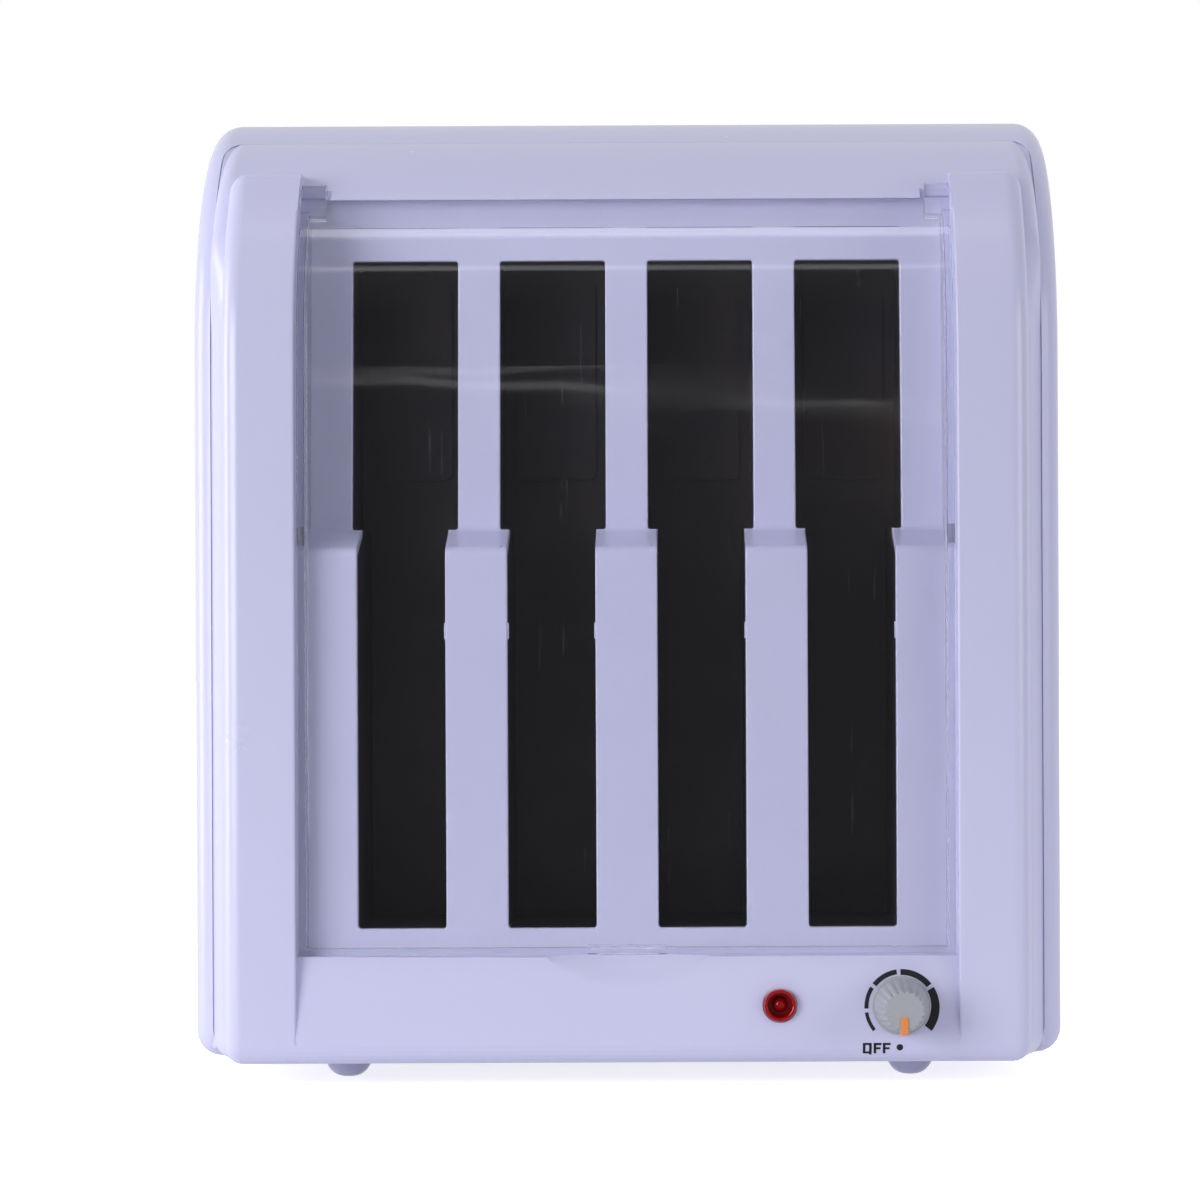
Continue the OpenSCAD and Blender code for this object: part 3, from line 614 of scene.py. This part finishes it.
def heater_coating():
    material = bpy.data.materials.new("heater coating")
    material.use_nodes = True
    tree = material.node_tree
    new, link = tree.nodes.new, tree.links.new
    shader = tree.nodes["Principled BSDF"]
    shader.inputs["IOR"].default_value = 1.5
    place = new("ShaderNodeTexCoord")
    stretch = new("ShaderNodeMapping")
    stretch.inputs["Scale"].default_value = (260, 260, 9)
    streaks = new("ShaderNodeTexNoise")
    streaks.inputs["Scale"].default_value = 1
    streaks.inputs["Detail"].default_value = 5
    streaks.inputs["Roughness"].default_value = 0.65
    worn = new("ShaderNodeValToRGB")
    worn.color_ramp.elements[0].position = 0.62
    worn.color_ramp.elements[0].color = (0.0, 0.0, 0.0, 1)
    worn.color_ramp.elements[1].position = 0.75
    worn.color_ramp.elements[1].color = (1, 1, 1, 1)
    where = new("ShaderNodeTexNoise")
    where.inputs["Scale"].default_value = 34
    patch = new("ShaderNodeMapRange")
    patch.inputs["From Min"].default_value = 0.53
    patch.inputs["From Max"].default_value = 0.63
    rubbed = new("ShaderNodeMath")
    rubbed.operation = "MULTIPLY"
    burnt = new("ShaderNodeTexNoise")
    burnt.inputs["Scale"].default_value = 13
    warm = new("ShaderNodeMapRange")
    warm.inputs["From Min"].default_value = 0.5
    warm.inputs["From Max"].default_value = 0.72
    coat = new("ShaderNodeMix")
    coat.data_type = "RGBA"
    coat.inputs["A"].default_value = (0.016, 0.012, 0.020, 1)
    coat.inputs["B"].default_value = (0.044, 0.024, 0.019, 1)
    tone = new("ShaderNodeMix")
    tone.data_type = "RGBA"
    tone.inputs["B"].default_value = (0.30, 0.29, 0.31, 1)
    link(place.outputs["Object"], stretch.inputs["Vector"])
    link(stretch.outputs["Vector"], streaks.inputs["Vector"])
    link(streaks.outputs["Fac"], worn.inputs["Fac"])
    link(place.outputs["Object"], where.inputs["Vector"])
    link(where.outputs["Fac"], patch.inputs["Value"])
    link(worn.outputs["Color"], rubbed.inputs[0])
    link(patch.outputs["Result"], rubbed.inputs[1])
    link(place.outputs["Object"], burnt.inputs["Vector"])
    link(burnt.outputs["Fac"], warm.inputs["Value"])
    link(warm.outputs["Result"], coat.inputs["Factor"])
    link(coat.outputs["Result"], tone.inputs["A"])
    link(rubbed.outputs["Value"], tone.inputs["Factor"])
    link(tone.outputs["Result"], shader.inputs["Base Color"])
    dust = new("ShaderNodeTexNoise")
    dust.inputs["Scale"].default_value = 60
    dust.inputs["Detail"].default_value = 4
    gloss = new("ShaderNodeMapRange")
    gloss.inputs["To Min"].default_value = 0.34
    gloss.inputs["To Max"].default_value = 0.52
    link(place.outputs["Object"], dust.inputs["Vector"])
    link(dust.outputs["Fac"], gloss.inputs["Value"])
    link(gloss.outputs["Result"], shader.inputs["Roughness"])
    relief = new("ShaderNodeBump")
    relief.inputs["Strength"].default_value = 0.25
    relief.inputs["Distance"].default_value = 0.0003
    link(streaks.outputs["Fac"], relief.inputs["Height"])
    link(relief.outputs["Normal"], shader.inputs["Normal"])
    return material


well_black = heater_coating()
for i in range(1, 5):
    well = frame["nodes"][f"heater_well_{i}"]
    well.data.materials.clear()
    well.data.materials.append(well_black)

# ---------- lid ----------
# One clear moulding: a 2 mm face that curves over the top, with a wall along
# its sides and bottom, a hinge lug with a pin at each top corner, and a lip
# at the bottom for the thumb.

lid_t = 2
lid_half = 100.6
lid_inset = 1.5
lid_r = 85.5
lid_top = 266.4
lid_low = bay_floor + 0.4
lid_back, lid_gap = panel_d - 0.7, 1.2
hinge_d, hinge_h = 24, 268.2
lug_r, lug_w, lug_low, pin_r, pin_out = 3.4, 7.6, 259.8, 2, 5.2


def lid_curve(r, top):
    """The lid's curve of radius r, from its straight part up to a height."""
    return arc(curve_d, curve_h, r, 180, 180 - math.degrees(math.asin((top - curve_h) / r)), 20)


def cross_rod(name, x0, x1, d, h, r, sides=32):
    bpy.ops.mesh.primitive_cylinder_add(vertices=sides, radius=r * mm, depth=(x1 - x0) * mm,
                                        location=spot((x0 + x1) / 2, d, h),
                                        rotation=(0, math.radians(90), 0))
    bpy.ops.object.transform_apply(location=True, rotation=True, scale=True)
    bpy.context.object.name = name
    return bpy.context.object


outer = [
    (lid_inset, lid_low), *lid_curve(lid_r, lid_top),
    (hinge_d - 1, lid_top + 0.4), (hinge_d + 3, lid_top + 0.4), (hinge_d + lug_r, lug_low + 0.8),
    (head_d - 2 * lid_gap, lug_low), (shelf_d - lid_gap, shelf_high + lid_gap),
    (lid_back, shelf_low + lid_gap), (lid_back, lid_low)]
lid = side_plate("clear_lid", -lid_half, lid_half, outer)
inner = [(lid_inset + lid_t, lid_low + lid_t), *lid_curve(lid_r - lid_t, lid_top + 3),
         (tool_back, lid_top + 3), (tool_back, lid_low + lid_t)]
hollow = side_plate("lid hollow", -lid_half + lid_t, lid_half - lid_t, inner)


def hollow_edge(edge):
    """The edges of the hollow along the lid's face, which a fillet fills."""
    x, d, h = mid(edge)
    reach = math.hypot(d - curve_d, h - curve_h)
    return abs(x) > lid_half - lid_t - 0.1 and d < 55 and not along_x(edge) and (
        abs(d - lid_inset - lid_t) < 0.02 if h < curve_h else abs(reach - lid_r + lid_t) < 0.1)


round_edges(hollow, hollow_edge, 1.4, 5)
combine(lid, hollow)
lug = [(hinge_d - lug_r, hinge_h), (hinge_d + lug_r, hinge_h), (hinge_d + 1.5, lug_low),
       (hinge_d - 8.2, lug_low), (hinge_d - lug_r - 1, hinge_h - 3)]
for s in (-1, 1):
    edge_x, lug_x, pin_x = s * (lid_half - 0.01), s * (lid_half - lug_w), s * (lid_half + pin_out)
    lug_ends, pin_ends = sorted((lug_x, edge_x)), sorted((lug_x - s * 0.01, pin_x))
    combine(lid, side_plate("lug", *lug_ends, lug), "UNION")
    combine(lid, cross_rod("lug round", *lug_ends, hinge_d, hinge_h, lug_r, 48), "UNION")
    combine(lid, cross_rod("pin", *pin_ends, hinge_d, hinge_h, pin_r), "UNION")
combine(lid, side_plate("thumb lip", -12, 12, [
    (lid_inset + 0.5, lid_low + 0.01), (-0.6, lid_low + 0.8), (-0.6, lid_low + 2),
    (lid_inset + 0.5, lid_low + 3.8)]), "UNION")


def lid_side_edge(edge):
    x, d, h = mid(edge)
    reach = math.hypot(d - curve_d, h - curve_h)
    return abs(abs(x) - lid_half) < 0.02 and not along_x(edge) and h < 257 and (
        abs(d - lid_inset) < 0.02 if h < curve_h else abs(reach - lid_r) < 0.1)


pick(lid, "FACE", lambda f: True)
bpy.ops.mesh.dissolve_limited(angle_limit=0.002)
done()
round_edges(lid, lid_side_edge, 0.5, 3)


def clear_plastic():
    """Clear acrylic: bends light, lets the lamps through, with slow waves and faint wipe marks."""
    material = bpy.data.materials.new("clear plastic")
    material.use_nodes = True
    tree = material.node_tree
    new, link = tree.nodes.new, tree.links.new
    shader = tree.nodes["Principled BSDF"]
    shader.inputs["Base Color"].default_value = (0.885, 0.89, 0.905, 1)
    shader.inputs["Transmission Weight"].default_value = 1
    shader.inputs["IOR"].default_value = 1.46
    place = new("ShaderNodeTexCoord")
    stretch = new("ShaderNodeMapping")
    stretch.inputs["Scale"].default_value = (14, 40, 90)
    stretch.inputs["Rotation"].default_value = (0, 0.12, 0)
    wiped = new("ShaderNodeTexNoise")
    wiped.inputs["Scale"].default_value = 1
    wiped.inputs["Detail"].default_value = 6
    haze = new("ShaderNodeMapRange")
    haze.inputs["From Min"].default_value = 0.45
    haze.inputs["From Max"].default_value = 0.75
    haze.inputs["To Min"].default_value = 0.02
    haze.inputs["To Max"].default_value = 0.09
    link(place.outputs["Object"], stretch.inputs["Vector"])
    link(stretch.outputs["Vector"], wiped.inputs["Vector"])
    link(wiped.outputs["Fac"], haze.inputs["Value"])
    link(haze.outputs["Result"], shader.inputs["Roughness"])
    wave = new("ShaderNodeTexNoise")
    wave.inputs["Scale"].default_value = 13
    flow = new("ShaderNodeBump")
    flow.inputs["Strength"].default_value = 0.8
    flow.inputs["Distance"].default_value = 0.00012
    link(place.outputs["Object"], wave.inputs["Vector"])
    link(wave.outputs["Fac"], flow.inputs["Height"])
    link(flow.outputs["Normal"], shader.inputs["Normal"])
    open_way = new("ShaderNodeBsdfTransparent")
    open_way.inputs["Color"].default_value = (0.93, 0.935, 0.94, 1)
    rays = new("ShaderNodeLightPath")
    either = new("ShaderNodeMixShader")
    link(rays.outputs["Is Shadow Ray"], either.inputs["Fac"])
    link(shader.outputs["BSDF"], either.inputs[1])
    link(open_way.outputs["BSDF"], either.inputs[2])
    link(either.outputs["Shader"], tree.nodes["Material Output"].inputs["Surface"])
    return material


smooth(lid, 25)
lid.data.materials.append(clear_plastic())
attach(lid, "lid")
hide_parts("lid")

# ---------- hidden parts ----------
# The heating elements, clamp bars, board and screws behind the wells keep
# their CAD shapes, each with the finish of its own stock.


def stock(name, colour, darker, rough, metal, scale):
    """A plain stock finish: two close tones, with roughness and relief from one grain."""
    material = bpy.data.materials.new(name)
    material.use_nodes = True
    tree = material.node_tree
    new, link = tree.nodes.new, tree.links.new
    shader = tree.nodes["Principled BSDF"]
    shader.inputs["Metallic"].default_value = metal
    place = new("ShaderNodeTexCoord")
    grain = new("ShaderNodeTexNoise")
    grain.inputs["Scale"].default_value = scale
    grain.inputs["Detail"].default_value = 5
    tone = new("ShaderNodeMix")
    tone.data_type = "RGBA"
    tone.inputs["A"].default_value = (*darker, 1)
    tone.inputs["B"].default_value = (*colour, 1)
    spread = new("ShaderNodeMapRange")
    spread.inputs["To Min"].default_value = rough * 0.8
    spread.inputs["To Max"].default_value = rough * 1.2
    relief = new("ShaderNodeBump")
    relief.inputs["Strength"].default_value = 0.15
    relief.inputs["Distance"].default_value = 0.0002
    link(place.outputs["Object"], grain.inputs["Vector"])
    link(grain.outputs["Fac"], tone.inputs["Factor"])
    link(tone.outputs["Result"], shader.inputs["Base Color"])
    link(grain.outputs["Fac"], spread.inputs["Value"])
    link(spread.outputs["Result"], shader.inputs["Roughness"])
    link(grain.outputs["Fac"], relief.inputs["Height"])
    link(relief.outputs["Normal"], shader.inputs["Normal"])
    return material


stocks = {
    "aluminium": stock("aluminium", (0.72, 0.73, 0.75), (0.58, 0.59, 0.61), 0.38, 1, 400),
    "steel": stock("zinc plated steel", (0.60, 0.61, 0.64), (0.46, 0.47, 0.50), 0.34, 1, 300),
    "dark_plastic": stock("dark moulded plastic", (0.050, 0.050, 0.055), (0.034, 0.034, 0.038),
                          0.5, 0, 350),
    "board": stock("circuit board", (0.035, 0.19, 0.09), (0.025, 0.14, 0.065), 0.36, 0, 500),
    "terminal_plastic": stock("terminal plastic", (0.70, 0.66, 0.55), (0.62, 0.58, 0.48),
                              0.5, 0, 350),
}
slot_of = {row["node"]: row["material_slot"] for row in frame["record"]["subparts"]}
for node, piece in frame["nodes"].items():
    if slot_of[node] in stocks:
        piece.data.materials.clear()
        piece.data.materials.append(stocks[slot_of[node]])

# ---------- knob ----------
# A grey moulded knob on the control shaft: a thin round skirt, a tapered body
# with twenty grip flutes and a slightly sunk face. The orange pointer is an
# inlay that runs over the face and down the side, and stands at OFF.

knob_reach = 16.5
skirt_r, cone_r, knob_face_r = 9, 8.4, 6.1
skirt_front = -1.8
flutes = 20
nut_room_r, shaft_bore_r = 6.9, 3.02

knob = rod("knob", knob_x, control_h, skirt_front, -0.2, skirt_r, flutes * 8)
round_edges(knob, lambda e: abs(e.verts[0].co.y - e.verts[1].co.y) < 0.1 * mm, 0.3, 3)
middle = spot(knob_x, 0, control_h)


def draw_out(forward, share):
    """Draws the selected front face forward and narrows it."""
    bpy.ops.mesh.extrude_region_move(TRANSFORM_OT_translate={"value": (0, -forward * mm, 0)})
    bpy.ops.transform.resize(value=(share, 1, share), center_override=middle)


pick(knob, "FACE", lambda f: mid(f)[1] < skirt_front + 0.01 and len(f.verts) > 100)
height = knob_reach + skirt_front
draw_out(0, cone_r / (skirt_r - 0.3))
draw_out(height * 0.4, 1 - 0.4 * (1 - knob_face_r / cone_r))
draw_out(height * 0.6 - 0.3, knob_face_r / cone_r / (1 - 0.4 * (1 - knob_face_r / cone_r)))
draw_out(0.2, 0.985)
draw_out(0.1, 0.96)
draw_out(0, 0.93)
draw_out(-0.12, 0.97)
done()


def in_flute(v, low, high):
    turn = math.atan2(v.co.x - middle.x, middle.z - v.co.z)
    place = abs((turn / (2 * math.pi) * flutes) % 1 - 0.5)
    return abs(turn) > math.pi / flutes * 1.02 and low <= place < high


for depth, deep in ((skirt_front, 0.01), (skirt_front - height * 0.4, 0.03),
                    (-knob_reach + 0.3, 0.085), (-knob_reach + 0.1, 0.085), (-knob_reach, 0.08)):
    for low, high, share in ((0.44, 0.51, 1.0), (0.31, 0.44, 0.72), (0.19, 0.31, 0.28)):
        pick(knob, "VERT", lambda v: abs(v.co.y / mm - face_y - depth) < 0.02
             and in_flute(v, low, high) and (v.co - middle).xz.length / mm < cone_r + 0.05
             and (depth > -knob_reach or (v.co - middle).xz.length / mm > 5.6))
        bpy.ops.transform.resize(value=(1 - deep * share, 1, 1 - deep * share),
                                 center_override=middle)
        done()
combine(knob, rod("nut room", knob_x, control_h, -4, 1, nut_room_r))
combine(knob, rod("shaft bore", knob_x, control_h, -knob_reach + 3, 0, shaft_bore_r))


def knob_plastic(name, light, dark, rough):
    material = bpy.data.materials.new(name)
    material.use_nodes = True
    tree = material.node_tree
    new, link = tree.nodes.new, tree.links.new
    shader = tree.nodes["Principled BSDF"]
    place = new("ShaderNodeTexCoord")
    grain = new("ShaderNodeTexNoise")
    grain.inputs["Scale"].default_value = 900
    grain.inputs["Detail"].default_value = 4
    tone = new("ShaderNodeMix")
    tone.data_type = "RGBA"
    tone.inputs["A"].default_value = (*dark, 1)
    tone.inputs["B"].default_value = (*light, 1)
    spread = new("ShaderNodeMapRange")
    spread.inputs["To Min"].default_value = rough - 0.06
    spread.inputs["To Max"].default_value = rough + 0.08
    relief = new("ShaderNodeBump")
    relief.inputs["Strength"].default_value = 0.3
    relief.inputs["Distance"].default_value = 0.00008
    link(place.outputs["Object"], grain.inputs["Vector"])
    link(grain.outputs["Fac"], tone.inputs["Factor"])
    link(tone.outputs["Result"], shader.inputs["Base Color"])
    link(grain.outputs["Fac"], spread.inputs["Value"])
    link(spread.outputs["Result"], shader.inputs["Roughness"])
    link(grain.outputs["Fac"], relief.inputs["Height"])
    link(relief.outputs["Normal"], shader.inputs["Normal"])
    return material


smooth(knob, 40)
knob.data.materials.append(knob_plastic("knob plastic", (0.42, 0.43, 0.47),
                                        (0.36, 0.37, 0.41), 0.42))
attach(knob, "control_knob")
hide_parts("knob")

pointer_half, pointer_proud, pointer_sunk, pointer_foot = 1.1, 0.3, 0.9, -9
proud, sunk = -knob_reach - pointer_proud, -knob_reach + pointer_sunk
pointer = side_plate("knob_pointer_inlay", knob_x - pointer_half, knob_x + pointer_half, [
    (-knob_reach, control_h - 1.9), (proud, control_h - 2.3), (proud, control_h - 6.9),
    (-knob_reach, control_h - 7.3), (pointer_foot, control_h - 8.2),
    (pointer_foot, control_h - 6.8), (sunk, control_h - 5.2), (sunk, control_h - 1.9)])
round_edges(pointer, lambda e: abs(abs(mid(e)[0] - knob_x) - pointer_half) < 0.01, 0.15, 2)
smooth(pointer)
pointer.data.materials.append(knob_plastic("pointer plastic", (0.86, 0.30, 0.09),
                                           (0.78, 0.25, 0.07), 0.38))
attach(pointer, "control_knob")
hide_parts("knob_pointer")

# ---------- pilot lamp ----------
# A clear red moulding pressed into the strip: a bezel ring around a conical
# recess, with a small dome at the bottom over the neon bulb.


def turned(name, outline, centre, axis, steps=64):
    """An outline of radii and places along an axis, turned once around it."""
    bpy.ops.object.select_all(action="DESELECT")
    bpy.ops.mesh.primitive_circle_add(vertices=len(outline), radius=0.01)
    piece = bpy.context.object
    piece.name = name
    axis = Vector(axis)
    out = Vector((1, 0, 0))
    closed = outline[0][0] > 0
    for corner, (r, t) in zip(piece.data.vertices, outline):
        corner.co = centre + out * r * mm + axis * t * mm
    if not closed:
        pick(piece, "EDGE",
             lambda e: all((v.co - centre).cross(axis).length < 1e-6 for v in e.verts))
        bpy.ops.mesh.delete(type="EDGE")
        done()
    pick(piece, "EDGE", lambda e: True)
    bpy.ops.mesh.spin(steps=steps, angle=2 * math.pi, center=centre, axis=axis)
    bpy.ops.mesh.select_all(action="SELECT")
    bpy.ops.mesh.remove_doubles(threshold=1e-6)
    bpy.ops.mesh.normals_make_consistent(inside=False)
    done()
    return piece


def dome(radius, start, rise, steps=10):
    """Radii and places of a dome from its rim to its top."""
    angles = [math.pi / 2 * i / steps for i in range(steps + 1)]
    return [(radius * math.cos(a), start - rise * math.sin(a)) for a in angles]


lens = turned("lamp_lens_turned", [
    (0, 8), (2.6, 8), (2.6, 12), (4, 12), (4, 2.15), (4.95, 2.15), (4.95, 0.0), (4.85, -0.35),
    (4.6, -0.6), (4.2, -0.6), (3.9, -0.45), (3.78, -0.1), (3.3, 4.6)] + dome(2.5, 4.6, 2.6),
    spot(lamp_x, 0, control_h), (0, 1, 0))


def lamp_plastic():
    """Translucent red moulding with faint flow marks."""
    material = bpy.data.materials.new("lamp plastic")
    material.use_nodes = True
    tree = material.node_tree
    new, link = tree.nodes.new, tree.links.new
    shader = tree.nodes["Principled BSDF"]
    shader.inputs["Transmission Weight"].default_value = 0.12
    shader.inputs["IOR"].default_value = 1.5
    shader.inputs["Coat Weight"].default_value = 0.2
    place = new("ShaderNodeTexCoord")
    flow = new("ShaderNodeTexNoise")
    flow.inputs["Scale"].default_value = 500
    tone = new("ShaderNodeMix")
    tone.data_type = "RGBA"
    tone.inputs["A"].default_value = (0.34, 0.002, 0.003, 1)
    tone.inputs["B"].default_value = (0.48, 0.004, 0.005, 1)
    spread = new("ShaderNodeMapRange")
    spread.inputs["To Min"].default_value = 0.05
    spread.inputs["To Max"].default_value = 0.12
    link(place.outputs["Object"], flow.inputs["Vector"])
    link(flow.outputs["Fac"], tone.inputs["Factor"])
    link(tone.outputs["Result"], shader.inputs["Base Color"])
    link(flow.outputs["Fac"], spread.inputs["Value"])
    link(spread.outputs["Result"], shader.inputs["Roughness"])
    return material


smooth(lens, 40)
lens.data.materials.append(lamp_plastic())
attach(lens, "housing")
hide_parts("lamp_lens")

# ---------- dial print ----------
# Marks printed in black on the strip around the knob: a ring in five lengths
# that thickens clockwise from low to high heat, a dot below the knob and OFF.

dial_x, dial_h, dial_r = 83.8, 17.1, 11.5
off_dot_x, off_dot_h, off_dot_r = 83.0, 5.0, 1.0
ink_proud, ink_depth = 0.03, 0.08
letter_low, letter_high, stroke = 3.1, 6.4, 0.8


def strip_front(h):
    if h < pillar_edge:
        return pillar_edge - math.sqrt(pillar_edge ** 2 - (pillar_edge - h) ** 2)
    return strip_recess * (h - pillar_edge) / (bay_floor - pillar_edge)


def print_mark(name, outline):
    """A flat mark of (across, height) points, laid a little proud of the leaning strip."""
    bpy.ops.object.select_all(action="DESELECT")
    bpy.ops.mesh.primitive_circle_add(vertices=len(outline), radius=0.01, fill_type="NGON")
    mark = bpy.context.object
    mark.name = name
    for corner, (x, h) in zip(mark.data.vertices, outline):
        corner.co = spot(x, 0, h)
    for h in (3.7, 4.2, 4.7, 5.2, 5.7, pillar_edge):
        pick(mark, "FACE", lambda f: True)
        bpy.ops.mesh.bisect(plane_co=spot(0, 0, h), plane_no=(0, 0, 1))
        done()
    for corner in mark.data.vertices:
        h = corner.co.z / mm - foot_h
        corner.co.y = (face_y + strip_front(h) - ink_proud) * mm
    pick(mark, "FACE", lambda f: True)
    bpy.ops.mesh.extrude_region_move(TRANSFORM_OT_translate={"value": (0, ink_depth * mm, 0)})
    bpy.ops.mesh.select_all(action="SELECT")
    bpy.ops.mesh.normals_make_consistent(inside=False)
    done()
    return mark


def ring_part(start, end, inner, steps=14):
    """A length of the ring between two clock angles in degrees, thicker for more heat."""
    angles = [math.radians(start + (end - start) * i / steps) for i in range(steps + 1)]
    points = [(dial_x + dial_r * math.sin(a), dial_h + dial_r * math.cos(a)) for a in angles]
    return points + [(dial_x + inner * math.sin(a), dial_h + inner * math.cos(a))
                     for a in reversed(angles)]


def bar(x0, h0, x1, h1):
    return [(x0, h0), (x1, h0), (x1, h1), (x0, h1)]


marks = [print_mark("ring part", ring_part(*part)) for part in (
    (231, 262, 10.4), (268, 303, 10.25), (309, 352, 10.0), (358, 412, 9.7), (418, 489, 8.8))]
marks.append(print_mark("off dot", [
    (off_dot_x + off_dot_r * math.cos(a), off_dot_h + off_dot_r * math.sin(a))
    for a in (i * math.pi / 12 for i in range(24))]))
for outline in (
        bar(71.7, letter_low, 74.2, letter_low + 0.65),
        bar(71.9, letter_high - 0.65, 74.4, letter_high),
        bar(71.7, letter_low, 71.7 + stroke, letter_high),
        bar(74.4 - stroke, letter_low - 0.35, 74.4, letter_high)):
    marks.append(print_mark("letter bar", outline))
for left in (75.0, 77.8):
    marks.append(print_mark("letter bar", bar(left, letter_low, left + stroke, letter_high)))
    marks.append(print_mark("letter bar", bar(left, letter_high - 0.7, left + 2.4, letter_high)))
    marks.append(print_mark("letter bar", bar(left, 4.4, left + 2.1, 5.05)))
dial_print = joined(marks)
dial_print.name = "dial_print"
dial_print.data.materials.append(stock("dial ink", (0.020, 0.020, 0.024), (0.012, 0.012, 0.015),
                                       0.45, 0, 800))
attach(dial_print, "housing")

# ---------- feet ----------
# Four white moulded domes pushed into holes in the floor of the rear case and
# held by their barbed stems.

foot_x, foot_front, foot_rear = 88, 32, 118
sole_r, bulge, stem_r, barb_r, tip_r = 1.5, 6, 2.5, 3.1, 2
barb_h = foot_h + wall + 0.1
tip_h = foot_h + wall + 3
cushion = [(sole_r + bulge * math.sin(a), foot_h - foot_h * math.cos(a))
           for a in (math.pi / 2 * i / 12 for i in range(13))]
foot_side = [(0, 0), *cushion, (stem_r, foot_h), (stem_r, barb_h), (barb_r, barb_h),
             (tip_r, tip_h), (0, tip_h)]
for node, x, d in (("foot_front_left", -foot_x, foot_front),
                   ("foot_front_right", foot_x, foot_front),
                   ("foot_rear_left", -foot_x, foot_rear),
                   ("foot_rear_right", foot_x, foot_rear)):
    foot = turned(node + "_dome", foot_side, spot(x, d, -foot_h), (0, 0, 1), 48)
    smooth(foot, 40)
    foot.data.materials.append(shell_white)
    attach(foot, "housing")
    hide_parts(node)

# ---------- cord gland ----------
# The black collar in the back wall that clamps the mains lead, held by a nut
# inside. The photograph shows no lead, so none is fitted.

gland = turned("cord_gland_collar", [
    (3.3, 4), (7.0, 4), (7.5, 3.6), (8.9, 0.4), (9, 0), (6, 0), (6, -12), (3.3, -12)],
    spot(gland_x, case_d, gland_h), (0, 1, 0))
smooth(gland, 30)
gland.data.materials.append(stocks["dark_plastic"])
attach(gland, "housing")
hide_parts("cord_gland")
